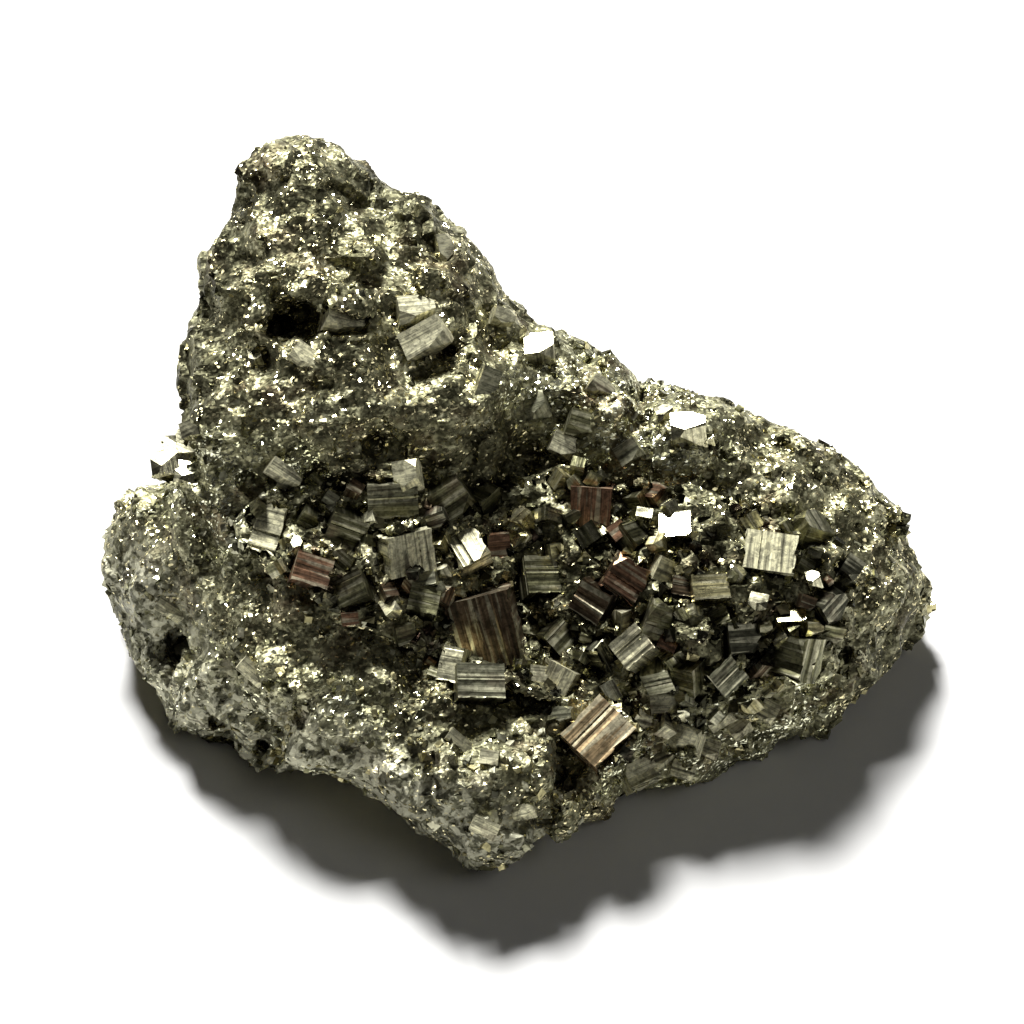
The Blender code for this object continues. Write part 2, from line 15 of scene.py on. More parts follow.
import bpy
import numpy as np
from mathutils import Matrix, Vector
from mathutils.bvhtree import BVHTree


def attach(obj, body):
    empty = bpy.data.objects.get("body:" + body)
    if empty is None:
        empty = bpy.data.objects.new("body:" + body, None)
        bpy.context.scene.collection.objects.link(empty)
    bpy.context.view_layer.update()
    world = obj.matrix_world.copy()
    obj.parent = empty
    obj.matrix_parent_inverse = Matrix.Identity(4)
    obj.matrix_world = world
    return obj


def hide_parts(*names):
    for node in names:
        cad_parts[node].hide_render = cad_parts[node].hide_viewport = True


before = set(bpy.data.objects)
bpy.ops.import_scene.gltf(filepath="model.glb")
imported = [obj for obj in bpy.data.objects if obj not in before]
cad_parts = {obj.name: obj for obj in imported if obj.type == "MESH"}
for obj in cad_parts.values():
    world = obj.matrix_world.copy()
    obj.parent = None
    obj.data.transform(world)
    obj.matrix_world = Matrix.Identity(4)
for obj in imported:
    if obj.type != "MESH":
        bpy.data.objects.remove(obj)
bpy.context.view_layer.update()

LOG = logging.getLogger("pyrite")
MM = 0.001
Array = np.ndarray
Spot = tuple[float, float]
Triple = tuple[float, float, float]
Line = tuple[Spot, ...]

# A crystal's middle, its axes and half its sizes.
Box = tuple[Array, Array, Array]


# ---------------------------------------------------------------- the display view


@dataclass(frozen=True)
class Display:
    """The way the lump is looked at on display."""

    tilt: float = math.radians(50.0)
    eye_distance: float = 420.0
    centre: Triple = (-0.537, 0.588, 20.0)
    width: float = 102.4

    def axes(self) -> Array:
        """The view's axes in the lump's frame, as the columns of a matrix."""
        s, c = math.sin(self.tilt), math.cos(self.tilt)
        return np.array([[1.0, 0.0, 0.0], [0.0, s, -c], [0.0, c, s]])

    def to_lump(self, points: Array) -> Array:
        """Display coordinates to the lump's own frame, both in millimetres."""
        return np.asarray(points, float) @ self.axes().T + np.array(self.centre)

    def from_lump(self, points: Array) -> Array:
        """The lump's own frame to display coordinates, both in millimetres."""
        return (np.asarray(points, float) - np.array(self.centre)) @ self.axes()

    def seen(self, points: Array) -> Array:
        """Where points of the lump's frame are seen: across and rise at the display's centre."""
        shown = self.from_lump(points)
        return shown[:, :2] * (self.eye_distance / (self.eye_distance - shown[:, 2]))[:, None]

    def sight_line(self, spot: Spot) -> tuple[Vector, Vector]:
        """The line from the eye through one seen spot, in metres."""
        eye = self.to_lump((0.0, 0.0, self.eye_distance))
        return Vector(eye * MM), Vector(self.to_lump((*spot, 0.0)) - eye).normalized()


DISPLAY = Display()

# ---------------------------------------------------------------- places on the lump

# The open trough's edge, seen on display, anticlockwise: (across, rise).
TROUGH = np.array((
    (-26.5, 2.0), (-27.0, -4.0), (-21.0, -8.5), (-14.0, -11.5), (-8.0, -15.0), (-3.0, -19.0),
    (3.5, -19.0), (6.0, -22.5), (9.0, -26.5), (14.5, -24.5), (20.0, -19.5), (28.0, -17.0),
    (33.0, -12.0), (34.0, -6.0), (30.0, -1.0), (22.0, 0.5), (14.0, 3.0), (6.0, 5.0),
    (-2.0, 2.5), (-14.0, 2.5),
))


def near_line(flat: Array, line: Array) -> Array:
    """How far each seen point is from a line of several parts, in millimetres."""
    nearest = np.full(len(flat), np.inf)
    for start, end in zip(line[:-1], line[1:]):
        along = end - start
        share = np.clip(((flat - start) @ along) / (along @ along), 0.0, 1.0)
        nearest = np.minimum(nearest, np.hypot(*(flat - start - share[:, None] * along).T))
    return nearest


def inside_trough(flat: Array) -> Array:
    """How deep inside the trough's edge each seen point lies, in millimetres; less than 0 outside.

    Args:
        flat: Seen points, one (across, rise) per row.

    Returns:
        One depth per point.
    """
    edge = np.vstack([TROUGH, TROUGH[:1]])
    inside = np.zeros(len(flat), bool)
    for start, end in zip(edge[:-1], edge[1:]):
        along = end - start
        crosses = (start[1] > flat[:, 1]) != (end[1] > flat[:, 1])
        slope = along[0] / (along[1] or 1e-9)
        inside ^= crosses & (flat[:, 0] < start[0] + slope * (flat[:, 1] - start[1]))
    nearest = near_line(flat, edge)
    return np.where(inside, nearest, -nearest)


def rise_of(depth: Array, over: float) -> Array:
    """A share that rises from 0 at a depth of 0 to 1 at a depth of `over`."""
    return np.clip(depth / over, 0.0, 1.0)


@dataclass(frozen=True)
class Band:
    """Runs of the surface, seen on display, that have a look of their own.

    The look fades out towards `reach`, over a width of `fade`, both in millimetres.
    """

    reach: float
    fade: float
    lines: tuple[Line, ...]

    def share(self, seen: Array) -> Array:
        """How much of the look each seen point has."""
        nearest = np.min([near_line(seen, np.array(line)) for line in self.lines], axis=0)
        return rise_of(self.reach - nearest, self.fade)


# The lump's lower left side: a band of dull, less metallic chips whose pale flakes are painted
# reflection of the floor.
FLOOR_REFLECTION_BAND = Band(7.5, 5.0, (
    ((-38.5, -8.0), (-33.5, -18.0), (-26.0, -24.0), (-16.0, -27.0), (-7.0, -32.0), (-1.0, -34.5)),
))

# Runs of the lump's flanks with painted shade: darker colour and few glints.
PAINTED_SHADE_BAND = Band(5.0, 4.0, (
    ((-29.0, 33.0), (-32.0, 22.0), (-32.0, 12.0)),
    ((-8.0, -22.5), (5.0, -22.5)),
    ((-13.0, 33.5), (-8.0, 30.0)),
    ((-1.4, 6.5), (-1.0, 2.0)),
    ((35.0, -16.5), (40.0, -13.0)),
))

# Runs with painted light: paler colour and more glints.
PAINTED_LIGHT_BAND = Band(7.0, 4.0, (
    ((3.0, 12.5), (9.0, 10.5), (16.0, 7.0)),
    ((12.0, -23.0), (20.0, -22.5), (28.0, -18.0)),
    ((-34.0, -17.0), (-29.0, -22.0), (-22.0, -23.0), (-18.0, -22.0)),
    ((-31.0, 4.0), (-27.0, 0.0), (-24.0, 2.0)),
))


# ---------------------------------------------------------------- working by hand


def select_only(obj: bpy.types.Object) -> None:
    """Selects one object and makes it the active one."""
    bpy.ops.object.select_all(action="DESELECT")
    obj.select_set(True)
    bpy.context.view_layer.objects.active = obj


def apply_modifier(obj: bpy.types.Object, kind: str, **settings: object) -> None:
    """Adds one modifier with its settings and applies it.

    Args:
        obj: The object it shapes.
        kind: Blender's name for the modifier.
        settings: The modifier's properties.
    """
    modifier = obj.modifiers.new(kind.title(), kind)
    for name, value in settings.items():
        setattr(modifier, name, value)
    select_only(obj)
    bpy.ops.object.modifier_apply(modifier=modifier.name)


def corners_of(obj: bpy.types.Object) -> Array:
    """An object's points in millimetres, one per row."""
    points = np.empty(len(obj.data.vertices) * 3, np.float32)
    obj.data.vertices.foreach_get("co", points)
    return points.reshape(-1, 3).astype(float) / MM


def triangles_of(obj: bpy.types.Object) -> Array:
    """The numbers of the three points of each triangle, one triangle per row."""
    obj.data.calc_loop_triangles()
    corners = np.empty(len(obj.data.loop_triangles) * 3, np.int32)
    obj.data.loop_triangles.foreach_get("vertices", corners)
    return corners.reshape(-1, 3)


def add_object(name: str, data: bpy.types.ID) -> bpy.types.Object:
    """Adds an object to the scene."""
    obj = bpy.data.objects.new(name, data)
    bpy.context.scene.collection.objects.link(obj)
    return obj


def paint(mesh: bpy.types.Mesh, name: str, values: Array) -> None:
    """Gives each point of a mesh four numbers of its own, which a finish can read by name."""
    values = values.astype(np.float32).ravel()
    mesh.attributes.new(name, "FLOAT_COLOR", "POINT").data.foreach_set("color", values)


@dataclass
class Heap:
    """Many small closed shapes that are made one mesh."""

    points: list[Array] = field(default_factory=list)
    triangles: list[Array] = field(default_factory=list)
    lines: list[Array] = field(default_factory=list)
    tints: list[Array] = field(default_factory=list)
    count: int = 0

    def add(
        self, points: Array, triangles: Array, tints: Array, lines: Array | None = None
    ) -> None:
        """Adds shapes to the heap.

        Args:
            points: Their points in millimetres.
            triangles: Their triangles, which count the points from 0.
            tints: One colour and gloss for each point.
            lines: A place along and across the striae for each triangle's corners.
        """
        self.points.append(points)
        self.triangles.append(triangles + self.count)
        self.tints.append(tints)
        self.lines.append(np.zeros((len(triangles) * 3, 2)) if lines is None else lines)
        self.count += len(points)

    def build(self, name: str) -> bpy.types.Object:
        """Makes the heap one object, flat shaded, with its colours and striae."""
        points, triangles = np.concatenate(self.points), np.concatenate(self.triangles)
        mesh = bpy.data.meshes.new(name)
        mesh.vertices.add(len(points))
        mesh.vertices.foreach_set("co", (points * MM).astype(np.float32).ravel())
        mesh.loops.add(triangles.size)
        mesh.loops.foreach_set("vertex_index", triangles.astype(np.int32).ravel())
        mesh.polygons.add(len(triangles))
        mesh.polygons.foreach_set("loop_start", np.arange(0, triangles.size, 3, dtype=np.int32))
        paint(mesh, "tint", np.concatenate(self.tints))
        lines = np.concatenate(self.lines).astype(np.float32)
        mesh.uv_layers.new(name="striae").data.foreach_set("uv", lines.ravel())
        mesh.update(calc_edges=True)
        mesh.validate()
        mesh.shade_flat()
        return add_object(name, mesh)


# ---------------------------------------------------------------- finishes


@dataclass
class Nodes:
    """A node tree that is being wired up."""

    tree: bpy.types.NodeTree

    def add(
        self, kind: str, inputs: dict[str | int, object] | None = None, **settings: object
    ) -> bpy.types.Node:
        """Adds one node.

        Args:
            kind: The node's type, without "ShaderNode" in front.
            inputs: Values, or sockets to link, for its inputs.
            settings: The node's own properties.

        Returns:
            The node.
        """
        name = kind if kind.startswith("Node") else f"ShaderNode{kind}"
        node = self.tree.nodes.new(name)
        for key, value in settings.items():
            setattr(node, key, value)
        self.wire(node, inputs or {})
        return node

    def wire(self, node: bpy.types.Node, inputs: dict[str | int, object]) -> None:
        """Sets or links some of a node's inputs."""
        for key, value in inputs.items():
            if isinstance(value, bpy.types.NodeSocket):
                self.tree.links.new(value, node.inputs[key])
            else:
                node.inputs[key].default_value = value

    def math(self, operation: str, first: object, second: object) -> bpy.types.NodeSocket:
        """A sum on two numbers."""
        return self.add("Math", {0: first, 1: second}, operation=operation).outputs[0]

    def vector(self, operation: str, first: object, second: object) -> bpy.types.NodeSocket:
        """A sum on two vectors, or on a vector and the number that scales it."""
        key = "Scale" if operation == "SCALE" else 1
        return self.add("VectorMath", {0: first, key: second}, operation=operation).outputs[0]

    def noise(self, place: object, scale: float, detail: float, **more: float) -> bpy.types.Node:
        """A noise pattern. `more` gives its roughness or distortion."""
        extra = {name.title(): value for name, value in more.items()}
        return self.add("TexNoise", {"Vector": place, "Scale": scale, "Detail": detail, **extra})

    def spread(self, value: object, ends: Spot, onto: Spot = (0.0, 1.0)) -> bpy.types.NodeSocket:
        """A number moved from one range on to another, and held there.

        Args:
            value: The number.
            ends: The two ends of the range that it comes from.
            onto: The two ends of the range that it goes to.

        Returns:
            The moved number.
        """
        keys = ("Value", "From Min", "From Max", "To Min", "To Max")
        return self.add("MapRange", dict(zip(keys, (value, *ends, *onto)))).outputs["Result"]

    def grade(self, value: object, onto: Spot) -> bpy.types.NodeSocket:
        """A share moved on to another range."""
        return self.spread(value, (0.0, 1.0), onto)

    def scaled(self, value: object, *shares: tuple[object, Spot]) -> bpy.types.NodeSocket:
        """A number times several shares, each moved on to its own range first."""
        for share, onto in shares:
            value = self.math("MULTIPLY", value, self.grade(share, onto))
        return value

    def mix(
        self, share: object, first: object, second: object, blend: str = "MIX"
    ) -> bpy.types.NodeSocket:
        """A mix of two colours, each a socket or three plain numbers."""
        node = self.add("Mix", {0: share}, data_type="RGBA", blend_type=blend)
        for key, colour in ((6, first), (7, second)):
            self.wire(node, {key: (*colour, 1.0) if isinstance(colour, tuple) else colour})
        return node.outputs[2]

    def shade(self, colour: object, share: object) -> bpy.types.NodeSocket:
        """A colour made darker or lighter by one number."""
        grey = self.add("CombineColor", {0: share, 1: share, 2: share}).outputs[0]
        return self.mix(1.0, colour, grey, "MULTIPLY")

    def ramp(self, value: object, stops: tuple[tuple[float, Triple], ...]) -> bpy.types.NodeSocket:
        """A colour read from a run of colours."""
        node = self.add("ValToRGB", {0: value})
        marks = node.color_ramp.elements
        for number, (place, colour) in enumerate(stops):
            mark = marks[number] if number < 2 else marks.new(place)
            mark.position = place
            mark.color = (*colour, 1.0)
        return node.outputs["Color"]


def new_material(name: str) -> tuple[bpy.types.Material, Nodes, bpy.types.Node]:
    """Starts a material.

    Args:
        name: The material's name.

    Returns:
        The material, its node tree and its shader.
    """
    material = bpy.data.materials.new(name)
    material.use_nodes = True
    return material, Nodes(material.node_tree), material.node_tree.nodes["Principled BSDF"]


def new_group(
    name: str, inputs: tuple[tuple[str, str, object], ...], outputs: tuple[tuple[str, str], ...]
) -> tuple[Nodes, bpy.types.Node, bpy.types.Node]:
    """Starts a shader node group.

    Args:
        name: The group's name.
        inputs: Each input's name, socket type and usual value.
        outputs: Each output's name and socket type.

    Returns:
        The tree, and its nodes for what comes in and goes out.
    """
    tree = bpy.data.node_groups.new(name, "ShaderNodeTree")
    for label, kind, usual in inputs:
        socket = tree.interface.new_socket(label, in_out="INPUT", socket_type=f"NodeSocket{kind}")
        socket.default_value = usual
    for label, kind in outputs:
        tree.interface.new_socket(label, in_out="OUTPUT", socket_type=f"NodeSocket{kind}")
    nodes = Nodes(tree)
    return nodes, nodes.add("NodeGroupInput"), nodes.add("NodeGroupOutput")


def facets_group() -> bpy.types.NodeTree:
    """Turns the surface into small flat grains, each tilted its own way, some of them glints."""
    nodes, come, go = new_group(
        "grain_facets",
        (
            ("Coarse", "Float", 1000.0), ("Fine", "Float", 3300.0), ("Coarse Tilt", "Float", 0.5),
            ("Fine Tilt", "Float", 0.3), ("Glints", "Float", 0.1), ("Glint Tilt", "Float", 1.6),
        ),
        (("Normal", "Vector"), ("Tone", "Float"), ("Speck", "Float"), ("Glint", "Float")),
    )
    given = come.outputs
    place = nodes.add("TexCoord").outputs["Object"]
    warp = nodes.noise(place, 1400.0, 1.0).outputs["Color"]
    warp = nodes.vector("SCALE", nodes.vector("SUBTRACT", warp, (0.5, 0.5, 0.5)), 0.0006)
    place = nodes.vector("ADD", place, warp)
    place = nodes.add("VectorRotate", {"Vector": place, "Axis": (0.0, 1.0, 0.0), "Angle": 0.3})
    place = nodes.vector("MULTIPLY", place.outputs[0], (0.62, 1.0, 1.1))
    coarse = nodes.add("TexVoronoi", {"Vector": place, "Scale": given["Coarse"]})
    fine = nodes.add("TexVoronoi", {"Vector": place, "Scale": given["Fine"]})
    draws = nodes.add("SeparateColor", {0: fine.outputs["Color"]}).outputs
    least = nodes.math("SUBTRACT", 1.0, given["Glints"])
    glint = nodes.math("GREATER_THAN", draws["Blue"], least)
    extra = nodes.math("MULTIPLY", glint, given["Glint Tilt"])
    tilt = nodes.math("ADD", given["Fine Tilt"], extra)
    turned_normal = nodes.add("NewGeometry").outputs["Normal"]
    for cell, amount in ((coarse, given["Coarse Tilt"]), (fine, tilt)):
        lean = nodes.vector("SUBTRACT", cell.outputs["Color"], (0.5, 0.5, 0.5))
        turned_normal = nodes.vector("ADD", turned_normal, nodes.vector("SCALE", lean, amount))
    normal = nodes.add("VectorMath", {0: turned_normal}, operation="NORMALIZE").outputs[0]
    tone = nodes.add("SeparateColor", {0: coarse.outputs["Color"]}).outputs["Green"]
    nodes.wire(go, {"Normal": normal, "Tone": tone, "Speck": draws["Red"], "Glint": glint})
    return nodes.tree


def weather_group() -> bpy.types.NodeTree:
    """Soft patches of brown film, glints, light and dark, chips and grime, each as a share."""
    masks = ("Rust", "Glints", "Shade", "Chips", "Grime")
    nodes, come, go = new_group(
        "weather", (("Rust", "Float", 0.3),), tuple((mask, "Float") for mask in masks)
    )
    place = nodes.add("TexCoord").outputs["Object"]
    moved = nodes.vector("ADD", place, (0.4, 0.1, 0.7))
    rust = nodes.noise(place, 220.0, 4.0, roughness=0.6).outputs[0]
    patch = nodes.noise(moved, 260.0, 4.0, roughness=0.6).outputs[0]
    shade = nodes.noise(moved, 420.0, 7.0, roughness=0.65).outputs[0]
    chips = nodes.noise(place, 900.0, 4.0, distortion=0.6).outputs[0]
    grime = nodes.noise(moved, 1800.0, 4.0, distortion=0.4).outputs[0]
    nodes.wire(go, {
        "Rust": nodes.math("MULTIPLY", nodes.spread(rust, (0.54, 0.70)), come.outputs["Rust"]),
        "Glints": nodes.spread(patch, (0.40, 0.66)),
        "Shade": nodes.spread(shade, (0.30, 0.70)),
        "Chips": nodes.spread(chips, (0.46, 0.53)),
        "Grime": nodes.spread(grime, (0.42, 0.58)),
    })
    return nodes.tree


@dataclass
class Effects:
    """The effects that the finishes share."""

    facets: bpy.types.NodeTree
    weather: bpy.types.NodeTree


@dataclass(frozen=True)
class Facets:
    """How the small flat grains of one finish lie: their numbers to the metre and their tilts."""

    coarse: float
    fine: float
    coarse_tilt: float
    fine_tilt: float
    glint_tilt: float

    def add(self, nodes: Nodes, effects: Effects, glints: object) -> bpy.types.NodeOutputs:
        """Adds the facets to a finish.

        Args:
            nodes: The finish's node tree.
            effects: The shared effects.
            glints: The share of the grains that glint.

        Returns:
            What the facets put out.
        """
        return nodes.add("Group", {
            "Coarse": self.coarse, "Fine": self.fine, "Coarse Tilt": self.coarse_tilt,
            "Fine Tilt": self.fine_tilt, "Glint Tilt": self.glint_tilt, "Glints": glints,
        }, node_tree=effects.facets).outputs


@dataclass(frozen=True)
class MassFinish:
    """The granular pyrite of the lump: olive between the grains, pale gold where they glint."""

    name: str = "granular_pyrite"
    facets: Facets = Facets(820.0, 4800.0, 0.42, 0.52, 1.2)
    glints: Spot = (0.10, 0.30)
    floor_reflection_glints: float = 0.30
    trough_glints: float = 0.52
    painted_light_to_shade_glints: Spot = (1.55, 0.45)
    colours: tuple[tuple[float, Triple], ...] = (
        (0.10, (0.060, 0.058, 0.032)),
        (0.42, (0.160, 0.154, 0.090)),
        (0.66, (0.305, 0.295, 0.179)),
        (0.88, (0.62, 0.60, 0.40)),
    )
    grime: Spot = (-0.24, 0.08)
    glint_colour: Triple = (0.95, 0.86, 0.50)
    rust: Triple = (0.17, 0.10, 0.062)
    chips: float = 0.8
    # Painted floor reflection: the colour of the pale chips, with the dark chips between them.
    chip_floor_reflection: Triple = (0.42, 0.41, 0.30)
    chip_dark: Triple = (0.085, 0.084, 0.058)
    chip_metal: float = 0.45
    # Painted shade: the share of the colour left in a hole.
    hollow_shade: float = 0.09
    # Painted shade: the share of the colour left deep in the trough.
    trough_shade: float = 0.60
    painted_light_to_shade: Spot = (1.45, 0.62)
    roughness: Spot = (0.42, 0.66)
    glint_gloss: float = 0.45

    def make(self, effects: Effects) -> bpy.types.Material:
        """Wires up the material.

        Args:
            effects: The shared effects.

        Returns:
            The material.
        """
        material, nodes, shader = new_material(self.name)
        weather = nodes.add("Group", node_tree=effects.weather).outputs
        cover = nodes.add("Attribute", attribute_name="cover").outputs
        marks = nodes.add("SeparateColor", {0: cover["Color"]}).outputs
        hollow, floor_reflection, sunk, light_and_shade = marks["Red"], marks["Green"], marks["Blue"], cover["Alpha"]
        # Glints thin out in the painted floor reflection band, in the trough's painted shade and in
        # painted shade on the flanks, and grow in painted light.
        glints = nodes.scaled(
            nodes.grade(weather["Glints"], self.glints), (floor_reflection, (1.0, self.floor_reflection_glints)),
            (sunk, (1.0, self.trough_glints)), (light_and_shade, self.painted_light_to_shade_glints),
        )
        facets = self.facets.add(nodes, effects, glints)
        tone = nodes.math("MULTIPLY", nodes.math("ADD", facets["Tone"], weather["Shade"]), 0.5)
        tone = nodes.math("ADD", tone, nodes.grade(weather["Grime"], self.grime))
        colour = nodes.mix(weather["Rust"], nodes.ramp(tone, self.colours), self.rust)
        # Painted floor reflection on the lower left band: pale and dark chips, on a less metallic
        # finish.
        chips = nodes.mix(weather["Chips"], self.chip_dark, self.chip_floor_reflection)
        colour = nodes.mix(nodes.math("MULTIPLY", floor_reflection, self.chips), colour, chips)
        colour = nodes.mix(facets["Glint"], colour, self.glint_colour)
        # Painted shade in holes, creases and the trough, and painted light and shade on the flanks,
        # all multiplied into the colour.
        dark = nodes.scaled(
            nodes.grade(hollow, (1.0, self.hollow_shade)), (light_and_shade, self.painted_light_to_shade),
            (sunk, (1.0, self.trough_shade)),
        )
        rough = nodes.grade(facets["Speck"], self.roughness)
        chipped = nodes.math("MULTIPLY", floor_reflection, weather["Chips"])
        nodes.wire(shader, {
            "Base Color": nodes.shade(colour, dark),
            "Roughness": nodes.scaled(rough, (facets["Glint"], (1.0, self.glint_gloss))),
            "Metallic": nodes.grade(chipped, (1.0, self.chip_metal)),
            "Normal": facets["Normal"],
        })
        return material


@dataclass(frozen=True)
class GrainFinish:
    """Single grains, each with its own colour and gloss."""

    name: str = "pyrite_grains"
    facets: Facets = Facets(1500.0, 4200.0, 0.2, 0.25, 0.9)
    glints: float = 0.06
    shade: Spot = (0.5, 1.1)
    rust: Triple = (0.17, 0.10, 0.07)
    speck: Spot = (-0.05, 0.08)

    def make(self, effects: Effects) -> bpy.types.Material:
        """Wires up the material.

        Args:
            effects: The shared effects.

        Returns:
            The material.
        """
        material, nodes, shader = new_material(self.name)
        facets = self.facets.add(nodes, effects, self.glints)
        weather = nodes.add("Group", node_tree=effects.weather).outputs
        tint = nodes.add("Attribute", attribute_name="tint").outputs
        colour = nodes.shade(tint["Color"], nodes.grade(weather["Shade"], self.shade))
        rough = nodes.math("ADD", tint["Alpha"], nodes.grade(facets["Speck"], self.speck))
        nodes.wire(shader, {
            "Base Color": nodes.mix(weather["Rust"], colour, self.rust),
            "Roughness": rough, "Normal": facets["Normal"], "Metallic": 1.0,
        })
        return material


@dataclass(frozen=True)
class CrystalFinish:
    """Crystal faces: bright metal with fine lines along the striae, and dull or rusty films."""

    name: str = "striated_crystal"
    lines: Triple = (0.15, 3.0, 1.0)
    line_shade: Spot = (0.45, 1.12)
    line_height: float = 0.00012
    streaks: Triple = (0.10, 1.3, 1.0)
    streak: Triple = (0.74, 0.71, 0.50)
    streaked: Spot = (0.0, 0.48)
    groove: Triple = (0.035, 0.034, 0.022)
    grooved: Spot = (0.6, 0.0)
    rusty: float = 0.45
    rust: Triple = (0.14, 0.085, 0.06)
    pits: float = 0.72
    film: float = 0.62
    speck: Spot = (-0.05, 0.15)

    def make(self, effects: Effects) -> bpy.types.Material:
        """Wires up the material.

        Args:
            effects: The shared effects.

        Returns:
            The material.
        """
        material, nodes, shader = new_material(self.name)
        weather = nodes.add("Group", {"Rust": self.rusty}, node_tree=effects.weather).outputs
        worn = nodes.add("Group", {"Fine": 5200.0, "Coarse": 1500.0}, node_tree=effects.facets)
        tint = nodes.add("Attribute", attribute_name="tint").outputs
        along = nodes.add("UVMap", uv_map="striae").outputs[0]
        drawn = nodes.vector("MULTIPLY", along, self.lines)
        lines = nodes.noise(drawn, 1.0, 3.0, roughness=0.6).outputs[0]
        streaks = nodes.noise(nodes.vector("MULTIPLY", along, self.streaks), 1.0, 2.0).outputs[0]
        colour = nodes.shade(tint["Color"], nodes.spread(lines, (0.38, 0.56), self.line_shade))
        streaked = nodes.spread(streaks, (0.51, 0.57), self.streaked)
        colour = nodes.mix(streaked, colour, self.streak)
        grooved = nodes.spread(streaks, (0.36, 0.44), self.grooved)
        colour = nodes.mix(grooved, colour, self.groove)
        colour = nodes.mix(weather["Rust"], colour, self.rust)
        pits = nodes.spread(worn.outputs["Speck"], (0.0, 0.5), (self.pits, 1.0))
        film = nodes.spread(weather["Grime"], (0.0, 0.6), (self.film, 1.0))
        rough = nodes.math("ADD", tint["Alpha"], nodes.grade(weather["Shade"], self.speck))
        bump = {"Height": lines, "Strength": 0.3, "Distance": self.line_height}
        nodes.wire(shader, {
            "Base Color": nodes.shade(colour, nodes.math("MULTIPLY", pits, film)),
            "Roughness": rough, "Normal": nodes.add("Bump", bump).outputs[0], "Metallic": 1.0,
        })
        return material


def dress(piece: bpy.types.Object, material: bpy.types.Material) -> None:
    """Gives a piece its finish, and says which body and material slot it goes with.

    Args:
        piece: The piece.
        material: Its finish.
    """
    piece.data.materials.clear()
    piece.data.materials.append(material)
    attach(piece, "root")
    LOG.info("%s: %d triangles", piece.name, len(triangles_of(piece)))


# ---------------------------------------------------------------- the lump


# The hollows worked into the lump, seen on display: (across, rise), (width, height, depth), turn.
HOLLOWS = (
    ((-20.9, 19.8), (3.6, 1.2, 10.0), 20.0),
    ((-23.4, 18.8), (3.2, 1.5, 9.0), 12.0),
    ((-25.0, 15.8), (1.0, 4.4, 5.0), -6.0),
    ((-6.9, 16.0), (3.6, 1.5, 5.0), 8.0),
    ((-13.6, 6.4), (1.6, 2.4, 4.0), 30.0),
    ((-11.0, 7.6), (2.6, 1.0, 3.0), -30.0),
    ((-26.0, 2.6), (3.6, 1.4, 4.0), -30.0),
    ((-22.0, 0.8), (5.0, 1.5, 5.0), -24.0),
    ((-16.4, 1.6), (5.0, 1.6, 5.0), 14.0),
    ((-6.4, -0.6), (4.6, 1.8, 5.0), -8.0),
    ((-3.6, 2.0), (1.6, 4.4, 4.0), -18.0),
    ((-33.0, -13.4), (4.4, 2.0, 5.0), -16.0),
    ((-28.6, -21.4), (4.4, 1.9, 5.0), -30.0),
    ((-24.4, -23.4), (3.8, 1.4, 4.0), -30.0),
    ((3.3, -30.9), (1.5, 1.3, 3.0), 30.0),
    ((4.6, -25.4), (1.5, 6.6, 5.0), -14.0),
    ((6.2, -29.2), (1.2, 3.0, 4.0), 20.0),
    ((-12.0, 11.5), (3.0, 0.9, 3.0), -20.0),
    ((4.6, 10.2), (3.6, 1.2, 4.0), -52.0),
    ((11.0, 8.4), (2.6, 1.2, 4.0), -40.0),
    ((13.2, 11.6), (1.6, 3.0, 4.0), -20.0),
    ((21.5, 5.8), (2.6, 1.4, 4.0), -10.0),
    ((33.2, -14.2), (3.6, 1.6, 4.0), 40.0),
    ((-30.0, 0.6), (1.1, 4.2, 4.0), 8.0),
    ((-31.4, 8.0), (1.2, 4.6, 3.0), 6.0),
    ((-8.6, -7.4), (4.2, 2.0, 5.0), -10.0),
    ((-15.4, -9.4), (3.4, 1.6, 4.0), -30.0),
    ((2.6, -8.8), (3.4, 1.8, 5.0), 20.0),
    ((0.8, -17.4), (3.0, 1.4, 4.0), -20.0),
    ((7.6, -5.6), (3.2, 1.6, 5.0), -30.0),
    ((20.4, -11.2), (2.8, 2.2, 5.0), 30.0),
    ((29.6, -17.4), (2.6, 1.2, 3.0), 30.0),
)

def shelter(
    points: Array, normals: Array, surface: BVHTree, reach: float = 5.0, lines: int = 12
) -> Array:
    """How far each point is shut in by the surface round it, from 0 in the open to 1 in a hole.

    Args:
        points: The points, in millimetres.
        normals: The surface's normal at each.
        surface: The surface round them, in metres.
        reach: How far away something still shuts a point in, in millimetres.
        lines: How many lines are tried from each point.

    Returns:
        One share per point.
    """
    chance = np.random.default_rng(8)
    ways = chance.normal(0.0, 1.0, (len(points), lines, 3))
    ways /= np.linalg.norm(ways, axis=2, keepdims=True)
    ways = ways * 0.95 + normals[:, None]
    starts = (points + normals * 0.15) * MM
    shut = np.zeros(len(points))
    for number, (start, fan) in enumerate(zip(starts.tolist(), ways.tolist())):
        shut[number] = sum(surface.ray_cast(start, way, reach * MM)[0] is not None for way in fan)
    return shut / lines


# How far above the floor the relief stops, in millimetres, so that the base stays flat.
FLOOR_GAP = 0.02


